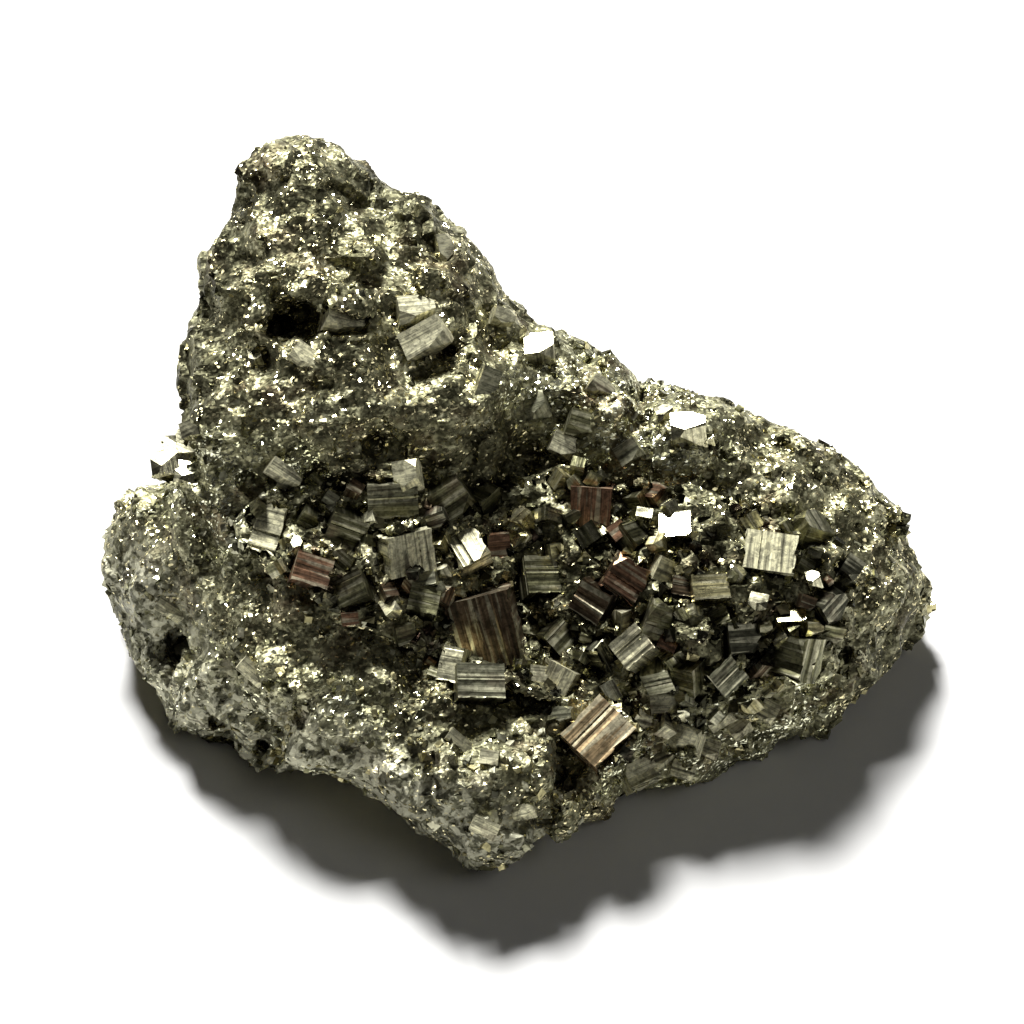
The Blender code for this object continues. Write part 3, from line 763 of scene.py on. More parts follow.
@dataclass
class Rock:
    """A body of granular pyrite, with the relief of its grains worked into its surface.

    Each layer of relief is the size and the height of its pattern, in millimetres. `poke` is how
    far round a crystal the relief is drawn in, and `over` how far in front of one it is pressed
    back. A point less shut in than `open_share` is open and gets no painted shade, and `shut_over`
    more makes a hole, painted in full shade.
    """

    node: str
    name: str
    voxel: float = 0.425
    steps: tuple[Spot, ...] = ((6.0, 2.1), (2.1, 0.8))
    creases: Spot = (3.8, 0.65)
    crumbs: Spot = (0.7, 0.15)
    hollowed: bool = True
    crisp_from: float = 32.0
    poke: float = 0.35
    over: Spot = (1.4, 0.7)
    open_share: float = 0.52
    shut_over: float = 0.45

    def build(self, boxes: list[Box]) -> bpy.types.Object:
        """Copies the solid and works the relief of blocks, creases and crumbs into it.

        Args:
            boxes: The crystals that it stays inside of.

        Returns:
            The body.
        """
        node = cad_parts[self.node]
        body = add_object(self.name, node.data.copy())
        select_only(body)
        bpy.ops.object.mode_set(mode="EDIT")
        bpy.ops.mesh.select_all(action="SELECT")
        bpy.ops.mesh.remove_doubles(threshold=1e-6)
        bpy.ops.object.mode_set(mode="OBJECT")
        if self.hollowed:
            surface = surface_of(node)
            for spot, size, turn in HOLLOWS:
                self.hollow(body, surface, spot, size, turn)
        apply_modifier(body, "REMESH", mode="VOXEL", voxel_size=self.voxel * MM)
        for number, (size, height) in enumerate(self.steps):
            blocks = self.relief(f"{self.name}_blocks_{number}", "VORONOI", size)
            blocks.distance_metric, blocks.color_mode = "CHEBYCHEV", "POSITION"
            self.press(body, blocks, height, 0.5)
        creases = self.relief(f"{self.name}_creases", "VORONOI", self.creases[0])
        creases.weight_1, creases.weight_2, creases.noise_intensity = -1.0, 1.0, 1.6
        self.press(body, creases, self.creases[1], 0.4)
        crumbs = self.relief(f"{self.name}_crumbs", "CLOUDS", self.crumbs[0])
        self.press(body, crumbs, self.crumbs[1], 0.5)
        self.settle(body, boxes)
        bpy.ops.object.shade_smooth_by_angle(angle=math.radians(self.crisp_from))
        return body

    def settle(self, body: bpy.types.Object, boxes: list[Box]) -> None:
        """Draws the relief in where it would poke out of a crystal's face or under the floor."""
        points, toward = corners_of(body), DISPLAY.axes()[:, 2]
        for middle, axes, half in boxes:
            for step in self.over:
                over = (np.abs((points - toward * step - middle) @ axes) < half).all(axis=1)
                points[over] -= toward * step
            local = (points - middle) @ axes
            near = (np.abs(local) < half + self.poke).all(axis=1)
            points[near] = middle + (local[near] * (half - 0.1) / (half + self.poke)) @ axes.T
        points[:, 2] = np.maximum(points[:, 2], FLOOR_GAP)
        body.data.vertices.foreach_set("co", (points * MM).astype(np.float32).ravel())
        body.data.update()

    def hollow(
        self, body: bpy.types.Object, surface: BVHTree, spot: Spot, size: Triple, turn: float
    ) -> None:
        """Breaks one hollow out of the body.

        Args:
            body: The body.
            surface: Its surface before any hollow was broken out.
            spot: Where the hollow is seen on display.
            size: Its width, its height and its depth along the line of sight.
            turn: Its turn on display, in degrees.
        """
        hit = surface.ray_cast(*DISPLAY.sight_line(spot))[0]
        if hit is None:
            return
        bpy.ops.object.select_all(action="DESELECT")
        bpy.ops.mesh.primitive_ico_sphere_add(subdivisions=2, radius=0.5 * MM)
        cutter = bpy.context.object
        chance = random.Random(round(10.0 * spot[0]))
        for vert in cutter.data.vertices:
            vert.co *= chance.uniform(0.66, 1.2)
        axes = Matrix(turned((turn, 0.0, 0.0)).tolist()).to_4x4()
        cutter.matrix_world = Matrix.Translation(hit) @ axes @ Matrix.Diagonal((*size, 1.0))
        apply_modifier(body, "BOOLEAN", operation="DIFFERENCE", solver="EXACT", object=cutter)
        bpy.data.objects.remove(cutter)

    def relief(self, name: str, kind: str, size: float) -> bpy.types.Texture:
        """A pattern of heights of one size."""
        texture = bpy.data.textures.new(name, kind)
        texture.noise_scale = size * MM
        return texture

    def press(
        self, body: bpy.types.Object, texture: bpy.types.Texture, height: float, middle: float
    ) -> None:
        """Lifts and sinks the surface by a pattern.

        Args:
            body: The body.
            texture: The pattern.
            height: The height of the pattern, in millimetres.
            middle: The part of the pattern that leaves the surface where it is.
        """
        apply_modifier(
            body, "DISPLACE", texture=texture, texture_coords="LOCAL", strength=height * MM,
            mid_level=middle,
        )

    def cover(self, body: bpy.types.Object, surface: BVHTree) -> None:
        """Marks each point's painted shade in hollows and the trough, painted floor reflection, and
        painted light and shade.

        Args:
            body: The body.
            surface: The specimen's whole surface.
        """
        points = corners_of(body)
        normals = np.empty(points.size, np.float32)
        body.data.vertices.foreach_get("normal", normals)
        normals = normals.reshape(-1, 3)
        shut = shelter(points, normals.astype(float), surface)
        seen = DISPLAY.seen(points)
        shown = rise_of(normals @ DISPLAY.axes()[:, 2], 0.25)
        # Painted shade: how deep in the trough a point lies, which darkens its colour and thins its
        # glints.
        deep = rise_of(inside_trough(seen) + 0.5, 2.0) * rise_of(seen[:, 1] + 19.0, 4.0)
        # Painted light and shade: 1 in the painted shade band, 0 in the painted light band, 0.5
        # elsewhere.
        light_and_shade = 0.5 + 0.5 * (PAINTED_SHADE_BAND.share(seen) - PAINTED_LIGHT_BAND.share(seen))
        marks = np.ones((len(points), 4), np.float32)
        # Painted shade: the more shut in a point is, the darker its colour, down to a hole's full
        # shade.
        marks[:, 0] = rise_of(shut - self.open_share, self.shut_over)
        marks[:, 1] = FLOOR_REFLECTION_BAND.share(seen) * shown
        marks[:, 2] = deep * shown
        marks[:, 3] = light_and_shade * shown + 0.5 * (1.0 - shown)
        paint(body.data, "cover", marks)


# ---------------------------------------------------------------- crystals


@dataclass(frozen=True)
class StriatedCube:
    """One cube of pyrite, a unit across, with stepped striae that turn from face to face.

    `cuts` is how many striae a face has, `depth` how deep their steps are, `chips` how many
    corners are off and `chipped` how far out from the middle, as a share of the corner's height.
    """

    seed: int
    cuts: int
    depth: float = 0.035
    chips: int = 1
    chipped: Spot = (0.78, 0.92)

    def build(self) -> tuple[Array, Array, Array]:
        """Models the cube.

        Returns:
            Its points, its triangles, and a place along and across the striae for each
            triangle's corners.
        """
        chance = random.Random(self.seed)
        bpy.ops.object.select_all(action="DESELECT")
        bpy.ops.mesh.primitive_cube_add(size=1.0)
        cube = bpy.context.object
        bpy.ops.object.mode_set(mode="EDIT")
        places = [sorted(chance.uniform(-0.47, 0.47) for _ in range(self.cuts)) for _ in range(3)]
        for axis in range(3):
            for place in places[axis]:
                self.bisect(axis, place)
        for axis in range(3):
            across = (axis + 2) % 3
            for side in (-0.5, 0.5):
                for place in places[across]:
                    self.step(cube, axis, side, across, place, chance)
        for _ in range(self.chips):
            self.chip(chance)
        bpy.ops.mesh.select_all(action="SELECT")
        bpy.ops.mesh.quads_convert_to_tris()
        bpy.ops.mesh.normals_make_consistent(inside=False)
        bpy.ops.object.mode_set(mode="OBJECT")
        points, triangles = corners_of(cube) * MM, triangles_of(cube)
        bpy.data.objects.remove(cube)
        return points, triangles, self.striae(points, triangles)

    def bisect(self, axis: int, place: float) -> None:
        """Cuts the cube's faces along one line across an axis."""
        where, facing = [0.0, 0.0, 0.0], [0.0, 0.0, 0.0]
        where[axis], facing[axis] = place, 1.0
        bpy.ops.mesh.select_all(action="SELECT")
        bpy.ops.mesh.bisect(plane_co=where, plane_no=facing)

    def step(
        self, cube: bpy.types.Object, axis: int, side: float, across: int, place: float,
        chance: random.Random,
    ) -> None:
        """Sinks one line of one face by its own depth.

        Args:
            cube: The cube.
            axis: The axis that the face looks along.
            side: Which end of that axis it is at, -0.5 or 0.5.
            across: The axis that the line lies across.
            place: Where the line lies on it.
            chance: The source of the depth.
        """
        bpy.ops.mesh.select_all(action="DESELECT")
        bpy.ops.object.mode_set(mode="OBJECT")
        for vert in cube.data.vertices:
            vert.select = (
                abs(vert.co[axis] - side) < 1.5 * self.depth and abs(vert.co[across] - place) < 1e-4
                and abs(abs(vert.co[axis]) - 0.5) < 1e-4
            )
        bpy.ops.object.mode_set(mode="EDIT")
        move = [0.0, 0.0, 0.0]
        move[axis] = -math.copysign(chance.choice((0.0, 0.25, 0.6, 1.0)) * self.depth, side)
        bpy.ops.transform.translate(value=move)

    def chip(self, chance: random.Random) -> None:
        """Breaks a corner or an edge off."""
        facing = [chance.choice((-1.0, 1.0)) * chance.uniform(0.3, 1.0) for _ in range(3)]
        facing = Vector(facing).normalized()
        bpy.ops.mesh.select_all(action="SELECT")
        place = facing * 0.5 * sum(abs(part) for part in facing) * chance.uniform(*self.chipped)
        bpy.ops.mesh.bisect(plane_co=place, plane_no=facing, use_fill=True, clear_outer=True)

    def striae(self, points: Array, triangles: Array) -> Array:
        """Places along and across the striae, by the way each triangle faces."""
        a, b, c = (points[triangles[:, number]] for number in range(3))
        facing = np.abs(np.cross(b - a, c - a)).argmax(axis=1)
        across = (facing + 2) % 3
        along = (facing + 1) % 3
        corners = points[triangles]
        rows, ends = np.arange(len(triangles))[:, None], np.arange(3)
        lines = np.stack([corners[rows, ends, way[:, None]] for way in (along, across)], axis=-1)
        lines[..., 1] += facing[:, None] * 7.0
        return lines.reshape(-1, 2)


class Cut(Enum):
    """The cubes that the crystals are copied from, from finely striated ones to shards."""

    FINE = StriatedCube(1, 11)
    CHIPPED = StriatedCube(2, 8, chips=2)
    FINEST = StriatedCube(3, 13)
    COARSE = StriatedCube(4, 6, chips=2)
    PLAIN = StriatedCube(5, 5)
    BROKEN = StriatedCube(6, 4, chips=2)
    STEPPED = StriatedCube(7, 8, depth=0.10, chips=3)
    SMOOTH = StriatedCube(8, 1, depth=0.01, chips=3)
    DEEP = StriatedCube(9, 8, depth=0.05)
    SHARD = StriatedCube(10, 1, depth=0.02, chips=9, chipped=(0.55, 0.85))
    SPLINTER = StriatedCube(11, 2, depth=0.04, chips=8, chipped=(0.50, 0.80))


class Tint(Enum):
    """The colours that pyrite faces show, as linear base colours."""

    BRASS = (0.56, 0.51, 0.27)
    PALE = (0.88, 0.84, 0.56)
    CREAM = (0.76, 0.73, 0.50)
    GREY = (0.38, 0.375, 0.25)
    SILVER = (0.56, 0.55, 0.39)
    OLIVE = (0.21, 0.205, 0.11)
    COPPER = (0.36, 0.265, 0.145)
    RUST = (0.29, 0.168, 0.100)
    BROWN = (0.16, 0.115, 0.070)
    COAL = (0.075, 0.074, 0.050)


@dataclass(frozen=True)
class Crystal:
    """One crystal: where it is seen, its sizes, how far out it stands, its turns and its looks.

    The turns are about the view's toward, across and rise lines, in degrees. With no turn the
    striae of the face that looks at the eye run across.
    """

    spot: Spot
    size: Triple
    out: float
    turns: Triple
    tint: Tint
    gloss: float
    cut: Cut


def crystals_from(*rows: tuple[object, ...]) -> tuple[Crystal, ...]:
    """The crystals of a table, each row of which is one crystal's fields in their order."""
    return tuple(Crystal(*row) for row in rows)


# The trough's crystals that stand out.
CRYSTALS = crystals_from(
    ((-12.0, 1.7), (4.8, 3.4, 4.4), 0.8, (2.0, 16.0, 4.0), Tint.GREY, 0.50, Cut.DEEP),
    ((-10.9, -3.8), (4.0, 4.8, 4.0), 1.0, (-76.0, -24.0, 16.0), Tint.CREAM, 0.58, Cut.DEEP),
    ((-8.4, -6.6), (2.1, 2.1, 2.1), 0.8, (8.0, -20.0, -16.0), Tint.SILVER, 0.50, Cut.PLAIN),
    ((-4.4, -4.0), (3.8, 3.4, 3.2), 0.6, (-62.0, -8.0, -25.0), Tint.PALE, 0.50, Cut.STEPPED),
    ((-1.6, -3.2), (2.2, 2.6, 2.4), 0.4, (4.0, 8.0, 14.0), Tint.RUST, 0.35, Cut.PLAIN),
    ((-20.2, -6.0), (3.6, 3.0, 3.0), 0.6, (-15.0, -14.0, 12.0), Tint.RUST, 0.50, Cut.CHIPPED),
    ((-2.4, -11.5), (7.4, 6.4, 6.0), 1.5, (-76.0, 8.0, 10.0), Tint.BROWN, 0.44, Cut.FINE),
    ((-5.8, -15.3), (2.2, 3.4, 2.4), 0.8, (-12.0, -6.0, -20.0), Tint.CREAM, 0.58, Cut.PLAIN),
    ((-3.5, -17.2), (4.6, 3.4, 3.8), 1.0, (2.0, -14.0, 14.0), Tint.GREY, 0.30, Cut.FINEST),
    ((2.6, -16.3), (1.8, 1.7, 1.7), 0.6, (-4.0, -10.0, 10.0), Tint.PALE, 0.35, Cut.BROKEN),
    ((4.9, -16.7), (2.7, 2.9, 2.6), 0.8, (62.0, -16.0, -7.0), Tint.PALE, 0.50, Cut.COARSE),
    ((8.6, -22.4), (5.4, 4.8, 4.8), 1.0, (47.0, -12.0, 10.0), Tint.COPPER, 0.50, Cut.DEEP),
    ((12.4, -13.7), (3.4, 3.2, 3.2), 0.9, (38.0, -24.0, -8.0), Tint.PALE, 0.36, Cut.FINEST),
    ((8.0, 0.6), (4.2, 4.0, 3.8), 0.6, (86.0, -6.0, -10.0), Tint.RUST, 0.58, Cut.COARSE),
    ((4.2, -4.3), (1.6, 2.3, 1.8), 0.4, (10.0, 0.0, 30.0), Tint.PALE, 0.40, Cut.BROKEN),
    ((16.4, -2.1), (3.0, 3.0, 3.0), 0.7, (0.0, -38.6, -7.0), Tint.PALE, 0.12, Cut.SMOOTH),
    ((25.6, -4.4), (3.8, 5.0, 4.2), 1.0, (82.0, 0.0, 14.0), Tint.CREAM, 0.64, Cut.DEEP),
    ((19.5, -7.9), (3.6, 2.6, 3.0), 0.8, (8.0, -18.0, 14.0), Tint.BRASS, 0.25, Cut.CHIPPED),
    ((16.9, -7.6), (2.2, 1.9, 2.0), 0.6, (-8.0, -15.0, 10.0), Tint.BROWN, 0.28, Cut.FINEST),
    ((14.9, -5.7), (2.2, 2.4, 2.2), 0.5, (-25.0, 0.0, 28.0), Tint.CREAM, 0.60, Cut.BROKEN),
    ((14.2, -10.7), (2.4, 4.2, 2.8), 0.8, (-22.0, 10.0, 20.0), Tint.OLIVE, 0.44, Cut.STEPPED),
    ((23.9, -0.9), (2.0, 2.2, 2.0), 0.5, (-60.0, 10.0, 10.0), Tint.SILVER, 0.35, Cut.FINEST),
    ((27.8, -10.4), (3.0, 2.3, 1.6), 0.6, (0.0, -36.0, -4.0), Tint.BRASS, 0.15, Cut.SMOOTH),
    ((28.2, -14.4), (4.2, 4.4, 4.0), 0.7, (-12.0, 8.0, -34.0), Tint.OLIVE, 0.34, Cut.STEPPED),
    ((22.8, -12.8), (3.4, 3.0, 3.0), 0.4, (6.0, -10.0, 20.0), Tint.COAL, 0.30, Cut.SPLINTER),
    ((12.6, -26.2), (3.2, 2.9, 2.9), 0.2, (25.0, -8.0, 18.0), Tint.CREAM, 0.54, Cut.STEPPED),
    ((17.3, -22.8), (3.0, 2.6, 2.8), 0.3, (-18.0, -10.0, -22.0), Tint.CREAM, 0.56, Cut.SHARD),
    ((21.0, -16.2), (3.0, 3.0, 3.0), 0.5, (40.0, 20.0, 12.0), Tint.GREY, 0.32, Cut.FINEST),
    ((2.6, -6.8), (3.8, 3.8, 3.6), 0.4, (8.0, -18.0, 24.0), Tint.OLIVE, 0.36, Cut.FINEST),
    ((8.4, -8.8), (3.4, 3.4, 3.2), 0.5, (-28.0, 16.0, -18.0), Tint.BROWN, 0.36, Cut.CHIPPED),
    ((4.4, -12.4), (3.0, 3.0, 3.0), 0.6, (42.0, 12.0, 20.0), Tint.OLIVE, 0.30, Cut.FINE),
    ((-15.6, -7.8), (3.2, 3.0, 3.0), 0.5, (20.0, -16.0, -20.0), Tint.OLIVE, 0.34, Cut.COARSE),
    ((-16.6, -1.4), (3.6, 3.2, 3.2), 0.6, (-24.0, 18.0, 14.0), Tint.OLIVE, 0.34, Cut.CHIPPED),
    ((-24.2, -1.8), (2.8, 4.8, 1.8), 0.8, (-18.0, -6.0, -12.0), Tint.CREAM, 0.60, Cut.STEPPED),
)

# Blocky crystals on the lump itself, level with its surface.
LUMP_CRYSTALS = crystals_from(
    ((-9.8, 20.0), (3.6, 2.6, 2.6), -0.1, (12.0, -20.0, 18.0), Tint.CREAM, 0.50, Cut.SHARD),
    ((-8.6, 17.3), (4.4, 2.8, 2.6), 0.0, (24.0, -16.0, -14.0), Tint.CREAM, 0.54, Cut.SPLINTER),
    ((-16.8, 19.2), (4.2, 3.0, 2.6), -0.1, (-10.0, -14.0, 20.0), Tint.CREAM, 0.60, Cut.SHARD),
    ((17.8, 8.2), (3.4, 2.6, 2.6), -0.1, (0.0, -38.0, -7.0), Tint.PALE, 0.24, Cut.SHARD),
    ((2.8, 16.2), (2.8, 2.6, 2.4), -0.1, (0.0, -38.0, -7.0), Tint.PALE, 0.30, Cut.SPLINTER),
)

# Slips of crystal in the granular surface that catch the light, or stand out pale.
SLIVERS = crystals_from(
    ((-34.7, 5.6), (2.7, 4.4, 0.9), 0.6, (8.0, -38.0, -7.0), Tint.PALE, 0.18, Cut.SHARD),
    ((-32.8, 6.4), (2.6, 3.4, 0.8), 0.1, (-24.0, -38.0, -7.0), Tint.PALE, 0.18, Cut.SHARD),
    ((-32.2, 8.2), (1.8, 2.0, 0.7), 0.0, (18.0, -39.0, -8.0), Tint.PALE, 0.16, Cut.SPLINTER),
    ((-32.6, 4.0), (2.0, 2.2, 0.7), 0.0, (-12.0, -37.0, -6.0), Tint.PALE, 0.20, Cut.SHARD),
    ((15.4, 9.8), (1.7, 1.4, 1.4), 0.0, (20.0, -37.0, -5.0), Tint.PALE, 0.14, Cut.SHARD),
    ((16.6, 6.9), (1.4, 1.1, 1.2), 0.0, (-30.0, -40.0, -9.0), Tint.PALE, 0.16, Cut.SPLINTER),
    ((19.6, 7.2), (1.2, 1.0, 1.0), 0.0, (10.0, -36.0, -4.0), Tint.PALE, 0.16, Cut.SHARD),
    ((1.2, 17.6), (1.3, 1.0, 1.0), 0.0, (30.0, -38.0, -8.0), Tint.PALE, 0.16, Cut.SPLINTER),
    ((-1.0, 19.4), (2.2, 1.8, 1.6), 0.0, (-14.0, -10.0, 20.0), Tint.CREAM, 0.50, Cut.SHARD),
    ((-2.6, 13.0), (2.0, 3.0, 1.6), 0.0, (-20.0, 0.0, 24.0), Tint.GREY, 0.50, Cut.SPLINTER),
    ((7.2, 8.6), (3.4, 2.6, 2.0), 0.0, (-16.0, -8.0, 10.0), Tint.OLIVE, 0.50, Cut.SHARD),
    ((11.8, 6.0), (2.4, 2.0, 2.0), 0.0, (30.0, -10.0, -14.0), Tint.GREY, 0.52, Cut.SPLINTER),
    ((-10.4, 3.6), (2.4, 3.0, 1.6), 0.2, (8.0, -6.0, -20.0), Tint.CREAM, 0.58, Cut.SHARD),
    ((-6.6, 1.2), (2.2, 2.4, 1.6), 0.2, (-30.0, -8.0, 18.0), Tint.CREAM, 0.56, Cut.SPLINTER),
    ((-22.8, 3.8), (3.4, 1.8, 1.6), 0.2, (-32.0, -10.0, 12.0), Tint.CREAM, 0.56, Cut.SHARD),
    ((-20.6, 15.4), (3.0, 2.0, 1.2), 0.0, (-34.0, -18.0, 4.0), Tint.CREAM, 0.60, Cut.SHARD),
    ((-25.6, 15.4), (1.2, 1.6, 1.0), 0.1, (14.0, -37.0, -6.0), Tint.PALE, 0.22, Cut.SHARD),
    ((-6.8, 26.2), (1.6, 3.0, 1.4), 0.0, (12.0, -6.0, 24.0), Tint.CREAM, 0.42, Cut.SHARD),
    ((-33.8, -9.6), (3.4, 2.2, 1.2), 0.1, (-32.0, -8.0, 10.0), Tint.CREAM, 0.60, Cut.SHARD),
    ((-26.0, -16.0), (3.0, 1.6, 1.2), 0.1, (-40.0, -8.0, 8.0), Tint.CREAM, 0.60, Cut.SPLINTER),
    ((-5.4, -23.2), (3.0, 1.8, 1.2), 0.1, (-38.0, -8.0, 12.0), Tint.CREAM, 0.56, Cut.SHARD),
    ((-2.2, -24.6), (1.8, 1.4, 1.2), 0.1, (-10.0, -10.0, -12.0), Tint.CREAM, 0.54, Cut.SPLINTER),
    ((8.2, -2.4), (1.4, 1.1, 1.2), 0.3, (22.0, -38.0, -7.0), Tint.PALE, 0.14, Cut.SHARD),
    ((13.2, -0.4), (1.6, 1.2, 1.2), 0.3, (-12.0, -37.0, -5.0), Tint.PALE, 0.14, Cut.BROKEN),
    ((24.6, -9.0), (1.8, 1.3, 1.2), 0.4, (-18.0, -39.0, -9.0), Tint.PALE, 0.14, Cut.SPLINTER),
    ((30.2, -6.8), (1.3, 1.6, 1.2), 0.3, (14.0, -36.0, -6.0), Tint.PALE, 0.14, Cut.SHARD),
    ((26.6, -12.4), (1.5, 2.2, 1.2), 0.5, (28.0, -38.0, -6.0), Tint.PALE, 0.14, Cut.BROKEN),
    ((29.6, -15.2), (1.3, 1.9, 1.2), 0.5, (-24.0, -40.0, -8.0), Tint.PALE, 0.16, Cut.SHARD),
    ((1.0, -13.2), (1.2, 1.0, 1.0), 0.6, (18.0, -37.0, -8.0), Tint.PALE, 0.20, Cut.SPLINTER),
    ((15.0, -24.6), (2.4, 1.9, 1.6), 0.2, (24.0, -12.0, 6.0), Tint.CREAM, 0.62, Cut.SHARD),
    ((19.4, -23.6), (2.6, 1.8, 1.6), 0.2, (-20.0, -12.0, -6.0), Tint.CREAM, 0.62, Cut.SPLINTER),
    ((13.0, -21.0), (1.6, 2.4, 1.6), 0.3, (-16.0, -18.0, 14.0), Tint.PALE, 0.50, Cut.SHARD),
    ((22.8, -21.6), (2.2, 1.6, 1.4), 0.2, (36.0, -14.0, 6.0), Tint.CREAM, 0.62, Cut.SHARD),
    ((25.6, -20.0), (1.8, 2.0, 1.4), 0.2, (-30.0, -14.0, -4.0), Tint.CREAM, 0.60, Cut.SPLINTER),
    ((17.0, -25.8), (2.4, 1.6, 1.4), 0.1, (-16.0, -10.0, 8.0), Tint.CREAM, 0.62, Cut.SPLINTER),
    ((20.8, -20.6), (2.6, 1.8, 1.6), 0.2, (28.0, -12.0, -8.0), Tint.CREAM, 0.62, Cut.SHARD),
    ((-2.8, -31.6), (2.6, 1.6, 1.4), 0.1, (-24.0, -12.0, 6.0), Tint.CREAM, 0.60, Cut.SPLINTER),
    ((1.2, -30.0), (2.2, 1.4, 1.4), 0.1, (12.0, -12.0, -6.0), Tint.CREAM, 0.60, Cut.SHARD),
    ((16.6, -20.4), (1.3, 1.0, 1.2), 0.4, (10.0, -37.0, -6.0), Tint.PALE, 0.20, Cut.SHARD),
    ((5.0, 6.6), (2.6, 2.2, 1.8), 0.1, (-24.0, -14.0, 12.0), Tint.CREAM, 0.50, Cut.SPLINTER),
    ((2.4, 10.8), (2.2, 3.0, 1.6), 0.1, (14.0, -16.0, -14.0), Tint.GREY, 0.46, Cut.SHARD),
    ((8.8, 12.4), (2.4, 1.8, 1.6), 0.1, (-30.0, -20.0, 10.0), Tint.CREAM, 0.46, Cut.SHARD),
    ((-14.0, -8.4), (2.6, 0.9, 1.0), 0.5, (-52.0, -38.0, -7.0), Tint.PALE, 0.16, Cut.SMOOTH),
    ((-21.6, -3.4), (1.0, 1.8, 1.0), 0.4, (-20.0, -38.0, -7.0), Tint.PALE, 0.16, Cut.SHARD),
)


def turned(turns: Triple) -> Array:
    """The display view's axes turned by roll, pitch and yaw in degrees."""
    roll, pitch, yaw = (math.radians(turn) for turn in turns)
    matrix = Matrix(DISPLAY.axes().tolist()) @ Matrix.Rotation(roll, 3, "Z")
    return np.array(matrix @ Matrix.Rotation(pitch, 3, "X") @ Matrix.Rotation(yaw, 3, "Y"))


@dataclass
class Crystals:
    """The striated cubes of the trough and the blocky ones on the lump.

    The small and the tiny ones are spread over a stretch of the display, across and in rise.
    `crisp` is the share of the small ones that are laid down, `proud` how much larger than drawn
    all of them are made, and below `rim_below` the colours are those of the rim.
    """

    small_cubes: int = 60
    small_across: Spot = (-27.0, 34.0)
    small_rise: Spot = (-27.0, 5.0)
    small_sizes: Spot = (2.0, 3.8)
    small_gloss: Spot = (0.28, 0.54)
    small_out: float = 0.2
    seed: int = 23
    crisp: float = 0.4
    tiny_cubes: int = 80
    tiny_across: Spot = (-27.0, 36.0)
    tiny_rise: Spot = (-27.0, 7.0)
    tiny_sizes: Spot = (0.8, 2.0)
    tiny_gloss: Spot = (0.2, 0.5)
    proud: float = 1.03
    tints: tuple[Tint, ...] = (
        Tint.BRASS, Tint.GREY, Tint.CREAM, Tint.OLIVE, Tint.OLIVE, Tint.OLIVE, Tint.BROWN,
        Tint.RUST, Tint.COAL,
    )
    rim_tints: tuple[Tint, ...] = (
        Tint.CREAM, Tint.GREY, Tint.BRASS, Tint.SILVER, Tint.CREAM, Tint.RUST,
    )
    rim_below: float = -17.0
    small_cuts: tuple[Cut, ...] = (
        Cut.CHIPPED, Cut.SPLINTER, Cut.STEPPED, Cut.SHARD, Cut.COARSE, Cut.SPLINTER,
    )
    tiny_cuts: tuple[Cut, ...] = (Cut.BROKEN, Cut.SHARD, Cut.SPLINTER)
    chance: random.Random = field(default_factory=lambda: random.Random(4))
    large: Heap = field(default_factory=Heap)
    small: Heap = field(default_factory=Heap)
    tiny: Heap = field(default_factory=Heap)
    shapes: dict[Cut, tuple[Array, Array, Array]] = field(default_factory=dict)
    boxes: list[Box] = field(default_factory=list)

    def prepare(self) -> None:
        """Models the cubes that all the crystals are copied from."""
        self.shapes = {cut: cut.value.build() for cut in Cut}

    def place(
        self, heap: Heap, surface: BVHTree, crystal: Crystal, level: bool = False
    ) -> None:
        """Copies one crystal on to the surface.

        Args:
            heap: What it is added to.
            surface: What it stands on.
            crystal: The crystal.
            level: Whether its face, not its middle, is what `out` is measured to.
        """
        hit = surface.ray_cast(*DISPLAY.sight_line(crystal.spot))[0]
        if hit is None:
            return
        axes, size = turned(crystal.turns), np.array(crystal.size) * self.proud
        toward = DISPLAY.axes()[:, 2]
        reach = (size / 2 / np.maximum(np.abs(axes.T @ toward), 1e-6)).min() if level else 0.0
        middle = np.array(hit) / MM + toward * (crystal.out - reach)
        points, triangles, lines = self.shapes[crystal.cut]
        tints = np.tile((*crystal.tint.value, crystal.gloss), (len(points), 1))
        heap.add((points * size) @ axes.T + middle, triangles, tints, lines * max(crystal.size))
        self.boxes.append((middle, axes, size / 2))

    def tints_at(self, spot: Spot) -> tuple[Tint, ...]:
        """The colours to pick from at one spot of the trough."""
        return self.rim_tints if spot[1] < self.rim_below else self.tints

    def small_rows(self) -> list[Crystal]:
        """The smaller cubes of the trough, spread between the ones that stand out."""
        spread, chance = random.Random(self.seed), self.chance
        rows: list[Crystal] = []
        taken = [(crystal.spot, max(crystal.size)) for crystal in CRYSTALS]
        while len(rows) < self.small_cubes:
            spot = (spread.uniform(*self.small_across), spread.uniform(*self.small_rise))
            size = spread.uniform(*self.small_sizes)
            turns = tuple(spread.uniform(-45.0, 45.0) for _ in range(3))
            free = all(math.dist(spot, other) > 0.5 * (size + width) for other, width in taken)
            if free and inside_trough(np.array([spot]))[0] > 0.8:
                taken.append((spot, size * 0.8))
                tint, gloss = chance.choice(self.tints_at(spot)), chance.uniform(*self.small_gloss)
                looks = tint, gloss, chance.choice(self.small_cuts)
                rows.append(Crystal(spot, (size, size, size), self.small_out * size, turns, *looks))
        return rows

    def tiny_row(self) -> Crystal:
        """One of the tiny cubes between the others."""
        chance = self.chance
        spot = (chance.uniform(*self.tiny_across), chance.uniform(*self.tiny_rise))
        size = chance.uniform(*self.tiny_sizes)
        turns = tuple(chance.uniform(-most, most) for most in (60.0, 50.0, 50.0))
        return Crystal(
            spot, (size, size * chance.uniform(0.7, 1.2), size), 0.0, turns,
            chance.choice(self.tints_at(spot)), chance.uniform(*self.tiny_gloss),
            chance.choice(self.tiny_cuts),
        )

